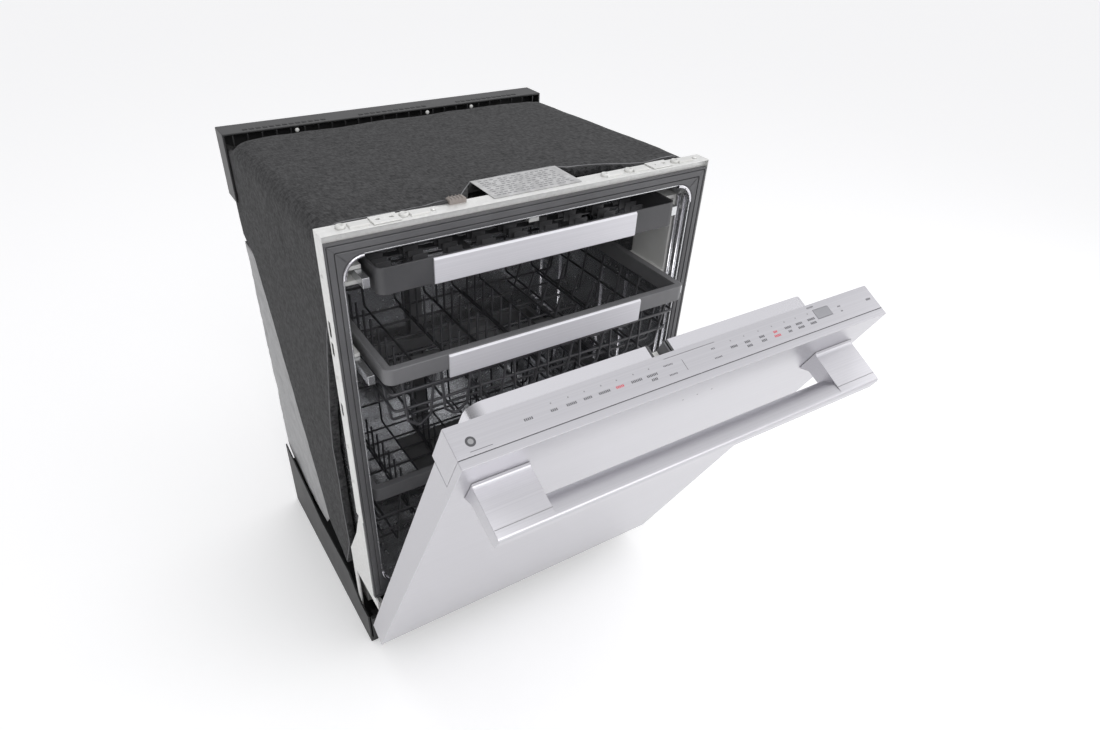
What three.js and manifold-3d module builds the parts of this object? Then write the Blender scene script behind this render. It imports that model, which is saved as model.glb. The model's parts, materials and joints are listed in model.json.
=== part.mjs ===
// Built-in dishwasher with its door part open, in millimetres, +Z up, front towards -Y.
// Origin: at floor level, on the width's centre, on the underside of the base's front cross rail.
import * as THREE from "three";
import { mergeVertices } from "three/addons/utils/BufferGeometryUtils.js";
import Module from "manifold-3d";

// ---------------------------------------------------------------- driving dimensions
const CABINET_WIDTH = 603;
const DOOR_TOP = 853.6;
const TUB_DEPTH = 455; // inside, from the front lip to the back wall
const DOOR_OPEN_DEGREES = 26.5; // how far the door stands open in the modelled pose

const GAP = 0.3; // between pieces that touch
const FIT = 0.6; // loose fit of one piece inside another
const RUN = 1.5; // between pieces that slide or swing past each other
const SHEET = 1.2; // steel panels
const TUB_WALL = 1.2;
const HALF = CABINET_WIDTH / 2;

// Tub and its front frame. FRONT is the plane of the door gasket.
const FRONT = -80;
const FLANGE_TOP = DOOR_TOP - 4.6;
const FLANGE_DEPTH = 27;
const FLANGE_BOTTOM = 378;
const GASKET_HALF = HALF - SHEET - GAP;
const GASKET_BAND = 19;
const GASKET_TOP = FLANGE_TOP - 11;
const GASKET_BOTTOM = 194;
const GASKET_THICK = 6.2;
const GASKET_CORNER = 30;
const OPENING_HALF = GASKET_HALF - GASKET_BAND;
const OPENING_TOP = GASKET_TOP - GASKET_BAND - 1.5;
const OPENING_BOTTOM = GASKET_BOTTOM + 21;
const LIP_Y = FRONT + GASKET_THICK + 2 * GAP; // front face of the tub
const TUB_HALF = OPENING_HALF - 2; // inside
const TUB_TOP = OPENING_TOP - 0.5;
const TUB_FLOOR = 182;
const TUB_BACK = LIP_Y + TUB_WALL + TUB_DEPTH;
const TUB_CORNER = 32;

// Insulation, rear frame and wrap.
const FELT_HALF = HALF - 4;
const FELT_TOP = FLANGE_TOP - 4;
const FELT_DROP = 16; // how much lower its rear edge is
const REAR_FRAME_FRONT = TUB_BACK + 11;
const REAR_FRAME_DEPTH = 48;
const REAR_FRAME_TOP = DOOR_TOP - 17.6;
const REAR_LEG_DROP = 112;
const WRAP_Y = TUB_BACK + 46; // back sheet
const WRAP_HALF = HALF - 6;
const WRAP_TOP = 641;

// Base.
const BASE_FRONT = -20;
const BASE_BACK = WRAP_Y + 3.5;
const BASE_WALL = 3;
const BASE_SIDE = 75; // wall height at the front
const RAIL_HEIGHT = 12;
const RAIL_DEPTH = 40;
const FOOT_INSET = 31;
const FOOT_RADIUS = 17;
const STEM_RADIUS = 5;
const FOOT_HEIGHT = 75;

// Door, modelled shut and then turned about its hinge.
const HINGE_Y = FRONT;
const HINGE_Z = 172;
const DOOR_BOTTOM = 80;
const DOOR_FACE = FRONT - 49.5;
const CONTROL_FRONT = FRONT - 40;
const CONTROL_BACK = FRONT - 4;
const CONTROL_HEIGHT = 58;
const LINER_FACE = FRONT - 9.3;
const LINER_SHEET = 1.2;
const PLUG_HALF = OPENING_HALF - 29;
const PLUG_TOP = OPENING_TOP - 4.5;
const PLUG_BOTTOM = OPENING_BOTTOM + 8;
const PLUG_FACE = FRONT + 29;
const PLUG_CORNER = 20;
const LATCH_HALF = 14;
const LATCH_DEPTH = 25;

// Handle: two end arms and a bar across them.
const HANDLE_HALF = HALF - 20.5;
const ARM_WIDTH = 68;
const HANDLE_REACH = 63.5;
const HANDLE_TOP = DOOR_TOP - 51.6;
const HANDLE_HEIGHT = 22;
const BAR_DEPTH = 31;

// Dispenser in the door liner.
const DISPENSER = { x0: -60, x1: 100, z0: 440, z1: 560 };
const CUP = { x0: -50, x1: 30, z0: 455, z1: 545, depth: 20 };
const LID_THICK = 3;
const CAP_X = 66;
const CAP_Z = 500;
const CAP_RADIUS = 16;

// Racks, at the places where they stand in the modelled pose.
const RACK_HOME = FRONT + 36; // front of a rack pushed right in
const UPPER_OUT = 82; // how far the upper rack stands out from home
const TRAY_OUT = 48;
const UPPER_HALF = OPENING_HALF - 25;
const UPPER_FRONT = RACK_HOME - UPPER_OUT;
const UPPER_DEPTH = TUB_DEPTH - 57;
const UPPER_TOP = 670;
const UPPER_RIM = 25;
const UPPER_FLOOR = 556;
const TRAY_HALF = OPENING_HALF - 40;
const TRAY_FRONT = RACK_HOME - TRAY_OUT;
const TRAY_DEPTH = TUB_DEPTH - 55;
const TRAY_TOP = OPENING_TOP - 20.5;
const TRAY_RIM = 26;
const TRIM_HALF = 164;
const TRIM_HEIGHT = 37;
const TRIM_THICK = 3.5;
const RIM_WALL = 12;
const LOWER_HALF = OPENING_HALF - 13;
const LOWER_FRONT = FRONT + 38;
const LOWER_DEPTH = TUB_DEPTH - 55;
const LOWER_RIM = 26;
const WIRE = 4;
const RING_OUT = 3.6; // how far a ring stands outside the middle of the hoops
const WHEEL_RADIUS = 16;
const WHEEL_WIDTH = 8;
const AXLE_RADIUS = 3;
const LOWER_FLOOR = TUB_FLOOR + 2 * WHEEL_RADIUS + 8;
const LOWER_TOP = LOWER_FLOOR + 176;

// Rails beside the racks.
const RAIL = { wide: 10, tall: 14, length: TUB_DEPTH - 65 };
const UPPER_RAIL_Z = 641;
const TRAY_RAIL_Z = TRAY_TOP - 28;
const GUIDE_THICK = 5.5;

// Water parts.
const ARM_CENTRE = TUB_BACK - TUB_DEPTH / 2 - 0.5;
const LOWER_ARM_REACH = TUB_DEPTH / 2 - 27.5;
const UPPER_ARM_REACH = 180;
const FILTER_Y = ARM_CENTRE + 97;
const SUMP = { half: 91.5, y0: ARM_CENTRE - 43, y1: FILTER_Y + 56, bottom: 110, wall: 3 };
const FILTER_RADIUS = 42;

// ---------------------------------------------------------------- materials
function finish(color, roughness, metalness) {
  return new THREE.MeshStandardMaterial({ color, roughness, metalness });
}
const STAINLESS = finish(0xd7d6da, 0.35, 1);
const POLISHED = finish(0xc4c6c8, 0.2, 1);
const GALVANISED = finish(0xe2e2e0, 0.5, 0.8);
const DARK_RUBBER = finish(0x4b4b4d, 0.7, 0);
const BLACK_PLASTIC = finish(0x242425, 0.6, 0);
const GREY_PLASTIC = finish(0x5c5c5e, 0.5, 0);
const PALE_PLASTIC = finish(0xcfcfcd, 0.5, 0);
const FELT = finish(0x464648, 0.95, 0);
const FOIL = finish(0xa0a0a0, 0.45, 0.8);
const NYLON = finish(0x6a6a6c, 0.45, 0);
const DARK_GLASS = finish(0x8c8c90, 0.15, 0);

// ---------------------------------------------------------------- solids
const wasm = await Module();
wasm.setup();

function solid(geometry) {
  const bare = new THREE.BufferGeometry();
  bare.setAttribute("position", geometry.getAttribute("position"));
  if (geometry.index) bare.setIndex(geometry.index);
  const merged = mergeVertices(bare, 1e-4);
  const vertProperties = merged.attributes.position.array;
  const triVerts = new Uint32Array(merged.index.array);
  return new wasm.Manifold(new wasm.Mesh({ numProp: 3, vertProperties, triVerts }));
}

function surface(body) {
  const mesh = body.getMesh();
  const geometry = new THREE.BufferGeometry();
  geometry.setAttribute("position", new THREE.BufferAttribute(mesh.vertProperties, mesh.numProp));
  geometry.setIndex(new THREE.BufferAttribute(mesh.triVerts, 1));
  const loose = geometry.toNonIndexed();
  loose.computeVertexNormals();
  return loose;
}

function join(...bodies) {
  return bodies.flat().reduce((all, body) => all.add(body));
}

function cut(body, ...tools) {
  return tools.flat().reduce((left, tool) => left.subtract(tool), body);
}

function box(x0, x1, y0, y1, z0, z1) {
  const geometry = new THREE.BoxGeometry(x1 - x0, y1 - y0, z1 - z0);
  geometry.translate((x0 + x1) / 2, (y0 + y1) / 2, (z0 + z1) / 2);
  return solid(geometry);
}

// A cylinder along "x", "y" or "z", from a to b, with its axis through the other two coordinates.
function rod(axis, a, b, u, v, radius, sides = 20) {
  const geometry = new THREE.CylinderGeometry(radius, radius, b - a, sides);
  const middle = (a + b) / 2;
  if (axis === "x") geometry.rotateZ(Math.PI / 2).translate(middle, u, v);
  if (axis === "y") geometry.translate(u, middle, v);
  if (axis === "z") geometry.rotateX(Math.PI / 2).translate(u, v, middle);
  return solid(geometry);
}

function outline(points) {
  return new THREE.Shape(points.map(([u, v]) => new THREE.Vector2(u, v)));
}

function roundedRect(u0, u1, v0, v1, radius) {
  const shape = new THREE.Shape();
  shape.moveTo(u0 + radius, v0);
  shape.lineTo(u1 - radius, v0);
  shape.absarc(u1 - radius, v0 + radius, radius, -Math.PI / 2, 0);
  shape.absarc(u1 - radius, v1 - radius, radius, 0, Math.PI / 2);
  shape.absarc(u0 + radius, v1 - radius, radius, Math.PI / 2, Math.PI);
  shape.absarc(u0 + radius, v0 + radius, radius, Math.PI, 1.5 * Math.PI);
  return shape;
}

function extrude(shape, depth) {
  return new THREE.ExtrudeGeometry(shape, { depth, bevelEnabled: false, curveSegments: 5 });
}

// An outline in X and Z, thick along Y.
function slabY(shape, y0, y1) {
  const geometry = extrude(shape, y1 - y0);
  geometry.rotateX(Math.PI / 2).translate(0, y1, 0);
  return solid(geometry);
}

// An outline in Y and Z, thick along X.
function slabX(shape, x0, x1) {
  const geometry = extrude(shape, x1 - x0);
  const turn = new THREE.Matrix4();
  turn.makeBasis(new THREE.Vector3(0, 1, 0), new THREE.Vector3(0, 0, 1), new THREE.Vector3(1, 0, 0));
  geometry.applyMatrix4(turn).translate(x0, 0, 0);
  return solid(geometry);
}

// An outline in X and Y, thick along Z.
function slabZ(shape, z0, z1) {
  const geometry = extrude(shape, z1 - z0);
  geometry.translate(0, 0, z0);
  return solid(geometry);
}

// The same slab on the left (side = -1) or the right (side = 1), from inner to outer |x|.
function sideSlab(side, shape, inner, outer) {
  return side < 0 ? slabX(shape, -outer, -inner) : slabX(shape, inner, outer);
}

function sideBox(side, inner, outer, y0, y1, z0, z1) {
  return side < 0 ? box(-outer, -inner, y0, y1, z0, z1) : box(inner, outer, y0, y1, z0, z1);
}

// ---------------------------------------------------------------- scene graph
const dishwasher = new THREE.Group();
dishwasher.name = "dishwasher";

const door = new THREE.Group();
door.position.set(0, HINGE_Y, HINGE_Z);
door.rotation.x = THREE.MathUtils.degToRad(DOOR_OPEN_DEGREES);
dishwasher.add(door);
const shutDoor = new THREE.Group();
shutDoor.position.set(0, -HINGE_Y, -HINGE_Z);
door.add(shutDoor);

function place(name, body, material, parent = dishwasher) {
  const mesh = new THREE.Mesh(surface(body), material);
  mesh.name = name;
  parent.add(mesh);
}

const SIDES = [
  ["left", -1],
  ["right", 1],
];

// ---------------------------------------------------------------- tub and front frame
function tub() {
  const { half, y0, y1 } = SUMP;
  const outer = roundedRect(
    -TUB_HALF - TUB_WALL, TUB_HALF + TUB_WALL, TUB_FLOOR - TUB_WALL, TUB_TOP + TUB_WALL, TUB_CORNER);
  const inner = roundedRect(-TUB_HALF, TUB_HALF, TUB_FLOOR, TUB_TOP, TUB_CORNER - TUB_WALL);
  const mouth = roundedRect(-TUB_HALF, TUB_HALF, OPENING_BOTTOM, TUB_TOP, TUB_CORNER - TUB_WALL);
  return cut(
    slabY(outer, LIP_Y, TUB_BACK + TUB_WALL),
    slabY(inner, LIP_Y + TUB_WALL, TUB_BACK),
    slabY(mouth, LIP_Y - 1, LIP_Y + TUB_WALL + 1),
    box(-half - FIT, half + FIT, y0 - FIT, y1 + FIT, TUB_FLOOR - 5, TUB_FLOOR + 1),
  );
}

function frontFlange() {
  const web = cut(
    box(-HALF, HALF, LIP_Y, LIP_Y + SHEET, FLANGE_BOTTOM, FLANGE_TOP),
    slabY(
      roundedRect(
        -TUB_HALF - TUB_WALL - FIT, TUB_HALF + TUB_WALL + FIT,
        0, TUB_TOP + TUB_WALL + FIT, TUB_CORNER + FIT),
      LIP_Y - 1, LIP_Y + SHEET + 1),
  );
  const skirt = cut(
    box(-HALF, HALF, FRONT, FRONT + FLANGE_DEPTH, FLANGE_BOTTOM, FLANGE_TOP),
    box(-HALF + SHEET, HALF - SHEET, FRONT - 1, FRONT + FLANGE_DEPTH + 1, 0, FLANGE_TOP - SHEET),
  );
  const slots = [];
  for (const [low, high] of [[704, 728], [676, 696], [576, 598]]) {
    slots.push(box(-HALF - 1, HALF + 1, FRONT + 14, FRONT + 23, low, high));
  }
  return cut(join(web, skirt), ...slots);
}

function doorGasket() {
  const ring = roundedRect(-GASKET_HALF, GASKET_HALF, GASKET_BOTTOM, GASKET_TOP, 4);
  ring.holes.push(roundedRect(-OPENING_HALF, OPENING_HALF, OPENING_BOTTOM, OPENING_TOP, GASKET_CORNER));
  const groove = (inset, width) => {
    const line = roundedRect(
      -GASKET_HALF + inset, GASKET_HALF - inset, GASKET_BOTTOM + inset, GASKET_TOP - inset, 3);
    const far = inset + width;
    line.holes.push(roundedRect(
      -GASKET_HALF + far, GASKET_HALF - far, GASKET_BOTTOM + far, GASKET_TOP - far, 2));
    return slabY(line, FRONT - 1, FRONT + GAP + 1.8);
  };
  return cut(slabY(ring, FRONT + GAP, FRONT + GAP + GASKET_THICK - GAP), groove(5, 1.5), groove(12, 1.5));
}

function insulationBlanket() {
  const low = FELT_TOP - FELT_DROP;
  const back = WRAP_Y - FIT;
  const side = outline([
    [FRONT + 30, FELT_TOP], [FRONT + 100, FELT_TOP], [REAR_FRAME_FRONT - 4, low], [back, low - 2],
    [back, WRAP_TOP + 1], [WRAP_Y - 66, WRAP_TOP + 1], [WRAP_Y - 267, 168], [FRONT + 160, 125],
    [FRONT + 118, 215], [FRONT + 119, 275], [FRONT + 119, 439], [FRONT + 100, 527], [FRONT + 77, 593],
    [FRONT + 43, 694], [FRONT + 30, 715],
  ].reverse());
  const rounded = roundedRect(-FELT_HALF, FELT_HALF, 0, FELT_TOP, 18);
  return cut(
    slabX(side, -FELT_HALF, FELT_HALF).intersect(slabY(rounded, FRONT, BASE_BACK)),
    box(
      -TUB_HALF - TUB_WALL - RUN, TUB_HALF + TUB_WALL + RUN,
      FRONT, BASE_BACK + 50, 0, TUB_TOP + TUB_WALL + RUN),
  );
}

function rearFrame() {
  const y0 = REAR_FRAME_FRONT;
  const y1 = y0 + REAR_FRAME_DEPTH;
  const top = REAR_FRAME_TOP;
  const foot = top - REAR_LEG_DROP;
  const beam = cut(
    box(-HALF, HALF, y0, y1, foot, top),
    box(-FELT_HALF - GAP, FELT_HALF + GAP, y0 - 1, y1 - 12, foot - 1, top - 3),
    box(-HALF + 34, HALF - 34, y0 - 1, y1 + 1, foot - 1, top - 34),
  );
  return beam;
}

function rearWrap() {
  const side = outline([
    [WRAP_Y - 263, 168], [WRAP_Y - 232, 130], [WRAP_Y - 47, 141], [WRAP_Y, 168],
    [WRAP_Y, WRAP_TOP], [WRAP_Y - 62, WRAP_TOP],
  ]);
  return join(
    slabX(side, -WRAP_HALF, -WRAP_HALF + SHEET),
    slabX(side, WRAP_HALF - SHEET, WRAP_HALF),
    box(-WRAP_HALF + GAP, WRAP_HALF - GAP, WRAP_Y - SHEET - GAP, WRAP_Y - GAP, 169, WRAP_TOP - 1),
  );
}

// ---------------------------------------------------------------- base
function footPlaces() {
  const places = [];
  for (const [end, y] of [["front", BASE_FRONT + FOOT_INSET - 6], ["rear", BASE_BACK - FOOT_INSET]]) {
    for (const [hand, side] of SIDES) places.push([end + "_" + hand, side * (HALF - FOOT_INSET), y]);
  }
  return places;
}

function baseFrame() {
  const wall = outline([
    [BASE_FRONT, 0], [BASE_BACK, 0], [BASE_BACK, 165], [FRONT + 300, 112], [FRONT + 150, 112],
    [FRONT + 97, BASE_SIDE], [BASE_FRONT, BASE_SIDE],
  ]);
  const bosses = footPlaces().map(([, x, y]) => box(x - 14, x + 14, y - 14, y + 14, RAIL_HEIGHT / 2, 40));
  const frame = join(
    slabX(wall, -HALF, -HALF + BASE_WALL),
    slabX(wall, HALF - BASE_WALL, HALF),
    box(-HALF + 1, HALF - 1, BASE_FRONT, BASE_FRONT + RAIL_DEPTH, 0, RAIL_HEIGHT),
    box(-HALF + 1, HALF - 1, BASE_BACK - RAIL_DEPTH, BASE_BACK, 0, RAIL_HEIGHT),
    box(-HALF + 1, HALF - 1, BASE_FRONT, BASE_BACK, 4, 6.5),
    box(-HALF + 1, HALF - 1, BASE_BACK - 3, BASE_BACK, 0, 120),
    bosses,
  );
  const holes = footPlaces().flatMap(([, x, y]) => [
    rod("z", -1, RAIL_HEIGHT - 1, x, y, FOOT_RADIUS + FIT),
    rod("z", -1, FOOT_HEIGHT, x, y, STEM_RADIUS + GAP, 12),
  ]);
  return cut(frame, ...holes);
}

function levellingFoot(x, y) {
  return join(
    rod("z", 0, RAIL_HEIGHT - 2, x, y, FOOT_RADIUS),
    rod("z", RAIL_HEIGHT - 3, FOOT_HEIGHT, x, y, STEM_RADIUS, 12),
  );
}

function toePlate() {
  const y1 = BASE_FRONT - GAP;
  return join(
    box(-HALF + 5, HALF - 5, y1 - 2, y1, 3, BASE_SIDE),
    box(-HALF + 5, HALF - 5, y1 - 8, y1, BASE_SIDE - 2, BASE_SIDE),
  );
}

function hingeBracket(side) {
  const plate = outline([
    [FRONT - 5, HINGE_Z - 5], [FRONT + 97, HINGE_Z - 5], [FRONT + 99, HINGE_Z - 8], [FRONT + 99, 40],
    [FRONT + 112, 40], [FRONT + 112, 215], [FRONT + 60, 300], [FRONT + 27, FLANGE_BOTTOM - 2],
    [FRONT + 8, FLANGE_BOTTOM - 2], [FRONT + 8, HINGE_Z + 20], [FRONT - 5, HINGE_Z + 14],
  ]);
  const inner = HALF - 7;
  const pinEnd = inner - 7.5;
  const pin = side < 0
    ? rod("x", -inner - 1, -pinEnd, HINGE_Y, HINGE_Z, 4, 12)
    : rod("x", pinEnd, inner + 1, HINGE_Y, HINGE_Z, 4, 12);
  return join(sideSlab(side, plate, inner, HALF - 3.5), pin);
}

// ---------------------------------------------------------------- water parts under and in the tub
function sump() {
  const { half, y0, y1, bottom, wall } = SUMP;
  const top = TUB_FLOOR + 1;
  return join(
    cut(
      box(-half, half, y0, y1, bottom, top),
      box(-half + wall, half - wall, y0 + wall, y1 - wall, bottom + wall, top - wall),
      rod("z", bottom + wall, top + 1, 0, FILTER_Y, FILTER_RADIUS + FIT + 1, 28),
    ),
    rod("z", top - 1, TUB_FLOOR + 10, 0, ARM_CENTRE, 14),
  );
}

function filter() {
  const rim = TUB_FLOOR + 1 + GAP;
  return join(
    rod("z", SUMP.bottom + 12, rim + 1, 0, FILTER_Y, FILTER_RADIUS, 28),
    rod("z", rim, rim + 3, 0, FILTER_Y, FILTER_RADIUS + 5, 28),
    box(-FILTER_RADIUS + 8, FILTER_RADIUS - 8, FILTER_Y - 3, FILTER_Y + 3, rim + 2, rim + 6),
  );
}

function pump(x0, x1, y, z, radius) {
  const [from, to] = x0 > 0 ? [x0 - 12, x0 + 2] : [x1 - 2, x1 + 12];
  const neck = rod("x", from, to, y, z, radius * 0.5);
  return join(rod("x", x0, x1, y, z, radius), neck);
}

function drainHose() {
  const back = TUB_BACK + TUB_WALL + 21;
  const points = [
    [-192, FRONT + 330, 140], [-215, FRONT + 350, 128], [-248, FRONT + 400, 118], [-268, back - 40, 124],
    [-275, back - 8, 160], [-276, back, 230], [-274, back, 320], [-262, back, 395], [-236, back, 425],
    [-210, back, 395], [-200, back, 320], [-198, back, 220], [-196, back, 130],
  ].map((point) => new THREE.Vector3(...point));
  const path = new THREE.CatmullRomCurve3(points, false, "centripetal");
  const ring = new THREE.Shape();
  ring.absarc(0, 0, 9, 0, 2 * Math.PI);
  const options = { steps: 34, curveSegments: 4, extrudePath: path };
  return solid(new THREE.ExtrudeGeometry(ring, options));
}

function inletValve() {
  const x0 = -HALF + 22;
  return join(
    box(x0, x0 + 46, FRONT + 122, FRONT + 160, 40, 84),
    rod("x", x0 + 40, x0 + 74, FRONT + 141, 62, 11),
    box(x0 + 10, x0 + 36, FRONT + 158, FRONT + 172, 8, 60),
  );
}

function junctionBox() {
  const x1 = HALF - 42;
  return join(
    box(x1 - 74, x1, FRONT + 112, FRONT + 190, 7, 66),
    rod("y", FRONT + 188, FRONT + 202, x1 - 37, 34, 12),
  );
}

function feedPipe() {
  const y1 = TUB_BACK - GAP;
  return join(
    box(-14, 14, y1 - 15, y1, TUB_FLOOR + GAP, TUB_TOP - 5),
    box(-14, 14, ARM_CENTRE + 12, y1, TRAY_TOP + RUN, TUB_TOP - 5),
  );
}

function topSprayNozzle() {
  const z0 = TRAY_TOP + RUN;
  return rod("z", z0, TUB_TOP - GAP, 0, ARM_CENTRE - 16, 26);
}

// A spray arm: two tapered blades on a hub.
function sprayArm(y, z0, reach, hubTop) {
  const blade = (sign) => {
    const shape = new THREE.Shape();
    shape.moveTo(0, -20);
    shape.lineTo(sign * (reach - 14), -14);
    shape.absarc(sign * (reach - 14), 0, 14, -Math.PI / 2, Math.PI / 2, sign < 0);
    shape.lineTo(0, 20);
    return slabZ(shape, z0, z0 + 12).translate([0, y, 0]);
  };
  return join(blade(1), blade(-1), rod("z", z0 - GAP, hubTop, 0, y, 27, 24));
}

function railGuide(side) {
  const wall = TUB_HALF - GAP;
  const reach = wall - GUIDE_THICK;
  const y0 = PLUG_FACE + 3;
  const y1 = y0 + 84;
  const jaws = [];
  for (const [z, inner] of [[UPPER_RAIL_Z, UPPER_HALF + 6], [TRAY_RAIL_Z, TRAY_HALF + 5]]) {
    jaws.push(sideBox(side, inner, wall, y0, y1, z - 6, z - GAP));
    jaws.push(sideBox(side, inner, wall, y0, y1, z + RAIL.tall + GAP, z + RAIL.tall + 6));
  }
  return join(sideBox(side, reach, wall, y0, y1, UPPER_RAIL_Z - 6, TRAY_RAIL_Z + RAIL.tall + 6), jaws);
}

function rackRail(side, inner, y0, z) {
  const bar = sideBox(side, inner, inner + RAIL.wide, y0, y0 + RAIL.length, z, z + RAIL.tall);
  const back = y0 + RAIL.length - 8;
  const hollow = sideBox(side, inner - 1, inner + RAIL.wide - 3, y0 + 8, back, z + 3, z + RAIL.tall - 3);
  return cut(bar, hollow);
}

// ---------------------------------------------------------------- small parts at the top
function latchStrike() {
  return box(-8, 8, FRONT + 12, FRONT + 24, TUB_TOP - 12, TUB_TOP - GAP);
}

function ratingPlate() {
  return box(-64, 75, FRONT + 10, FRONT + 79, FLANGE_TOP + GAP, FLANGE_TOP + GAP + 0.8);
}

function worktopBracket(side) {
  const z0 = FLANGE_TOP + GAP;
  const x = side * (HALF - 86);
  return cut(
    box(x - 18, x + 18, FRONT + 3, FRONT + 26, z0, z0 + 1.8),
    rod("z", z0 - 1, z0 + 3, x + 9, FRONT + 15, 3, 12),
    rod("z", z0 - 1, z0 + 3, x - 9, FRONT + 15, 3, 12),
  );
}

// ---------------------------------------------------------------- door
function outerPanel() {
  const shoulder = DOOR_TOP - CONTROL_HEIGHT - 1;
  const wallBack = LINER_FACE - LINER_SHEET - GAP;
  return cut(
    join(
      box(-HALF, HALF, DOOR_FACE, wallBack, DOOR_BOTTOM, shoulder),
      box(-HALF, HALF, DOOR_FACE, CONTROL_FRONT, shoulder - 1, DOOR_TOP),
    ),
    box(-HALF + SHEET, HALF - SHEET, DOOR_FACE + SHEET, FRONT, DOOR_BOTTOM + SHEET, DOOR_TOP - SHEET),
  );
}

const WINDOW = { x0: 196, x1: 222, y0: CONTROL_FRONT + 14, y1: CONTROL_FRONT + 27 };

function controlPanel() {
  const y0 = CONTROL_FRONT + GAP;
  const z0 = DOOR_TOP - CONTROL_HEIGHT;
  const wall = 2.5;
  return cut(
    box(-HALF, HALF, y0, CONTROL_BACK, z0, DOOR_TOP),
    box(-HALF + wall, HALF - wall, y0 + wall, CONTROL_BACK - wall, z0 - 1, DOOR_TOP - wall),
    box(WINDOW.x0 - GAP, WINDOW.x1 + GAP, WINDOW.y0 - GAP, WINDOW.y1 + GAP, DOOR_TOP - 1.2, DOOR_TOP + 1),
  );
}

function displayWindow() {
  return box(WINDOW.x0, WINDOW.x1, WINDOW.y0, WINDOW.y1, DOOR_TOP - 0.9, DOOR_TOP);
}

function doorLiner() {
  const plateTop = DOOR_TOP - CONTROL_HEIGHT - 6;
  const plate = box(
    -HALF + SHEET + FIT, HALF - SHEET - FIT, LINER_FACE - LINER_SHEET, LINER_FACE,
    DOOR_BOTTOM + SHEET + FIT, plateTop);
  const plug = slabY(
    roundedRect(-PLUG_HALF, PLUG_HALF, PLUG_BOTTOM, PLUG_TOP, PLUG_CORNER), LINER_FACE - 1, PLUG_FACE);
  const wall = LINER_SHEET;
  const hollow = slabY(
    roundedRect(
      -PLUG_HALF + wall, PLUG_HALF - wall, PLUG_BOTTOM + wall, PLUG_TOP - wall, PLUG_CORNER - wall),
    FRONT - 60, PLUG_FACE - wall);
  const { x0, x1, z0, z1 } = DISPENSER;
  return cut(
    join(plate, plug),
    hollow,
    box(-HALF, HALF, FRONT - 60, CONTROL_BACK + GAP, plateTop, DOOR_TOP),
    box(x0 - FIT, x1 + FIT, FRONT - 60, PLUG_FACE + 1, z0 - FIT, z1 + FIT),
    box(-LATCH_HALF, LATCH_HALF, FRONT - 60, PLUG_FACE + 1, PLUG_TOP - LATCH_DEPTH, PLUG_TOP + 1),
    rod("y", PLUG_FACE - 10, PLUG_FACE + 1, PLUG_HALF - 62, 640, 30, 24),
  );
}

function doorLatch() {
  const half = LATCH_HALF - GAP;
  const z0 = PLUG_TOP - LATCH_DEPTH + GAP;
  return join(
    box(-half, half, CONTROL_BACK + 1, FRONT + 7, z0, PLUG_TOP - 1),
    box(-half, half, CONTROL_BACK + 1, PLUG_FACE - GAP, z0, z0 + 3),
  );
}

function ventGrille() {
  const x = PLUG_HALF - 62;
  const disc = join(
    rod("y", PLUG_FACE + GAP, PLUG_FACE + 3, x, 640, 36, 24),
    rod("y", PLUG_FACE - 8, PLUG_FACE + 1, x, 640, 29, 24),
  );
  const slots = [-15, -5, 5, 15].map((dz) => {
    return box(x - 18, x + 18, PLUG_FACE - 9, PLUG_FACE + 4, 638 + dz, 642 + dz);
  });
  return cut(disc, ...slots);
}

function dispenser() {
  const { x0, x1, z0, z1 } = DISPENSER;
  return cut(
    box(x0, x1, FRONT + 2, PLUG_FACE + 0.5, z0, z1),
    box(CUP.x0, CUP.x1, PLUG_FACE - CUP.depth, PLUG_FACE + 1, CUP.z0, CUP.z1),
    rod("y", PLUG_FACE - 12, PLUG_FACE + 1, CAP_X, CAP_Z, CAP_RADIUS - 4, 20),
  );
}

const LID_FACE = PLUG_FACE + 0.5 + GAP;

function dispenserLid() {
  return join(
    box(CUP.x0 - 4, CUP.x1 + 4, LID_FACE, LID_FACE + LID_THICK, CUP.z0 - 5, CUP.z1 + 4),
    rod("x", CUP.x0 - 4, CUP.x1 + 4, LID_FACE + LID_THICK / 2, CUP.z0 - 5, LID_THICK / 2, 10),
  );
}

function rinseCap() {
  return join(
    rod("y", LID_FACE, LID_FACE + 3, CAP_X, CAP_Z, CAP_RADIUS, 20),
    box(CAP_X - 11, CAP_X + 11, LID_FACE + 2, LID_FACE + 6, CAP_Z - 2, CAP_Z + 2),
  );
}

// The top face is level when the door is shut; the bar's rear edge is rounded for the fingers.
function handle() {
  const root = DOOR_FACE - GAP;
  const front = root - HANDLE_REACH + GAP;
  const low = HANDLE_TOP - HANDLE_HEIGHT;
  const arm = outline([
    [front, low + 4], [front + 1.2, low + 1.2], [front + 4, low], [root - 12, low - 2],
    [root, low - 12], [root, HANDLE_TOP + 4], [root - 2, HANDLE_TOP + 1.2], [root - 6, HANDLE_TOP],
    [front + 4, HANDLE_TOP], [front + 1.2, HANDLE_TOP - 1.2], [front, HANDLE_TOP - 4],
  ]);
  const back = front + BAR_DEPTH;
  const bar = outline([
    [front, low + 4], [front + 1.2, low + 1.2], [front + 4, low], [back - 4, low],
    [back, low + 5], [back - 3, HANDLE_TOP - 11], [back - 8, HANDLE_TOP - 5],
    [back - 15, HANDLE_TOP - 1.5], [front + 4, HANDLE_TOP], [front + 1.2, HANDLE_TOP - 1.2],
    [front, HANDLE_TOP - 4],
  ]);
  return join(
    slabX(arm, -HANDLE_HALF, -HANDLE_HALF + ARM_WIDTH),
    slabX(arm, HANDLE_HALF - ARM_WIDTH, HANDLE_HALF),
    slabX(bar, -HANDLE_HALF + 10, HANDLE_HALF - 10),
  );
}

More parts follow.
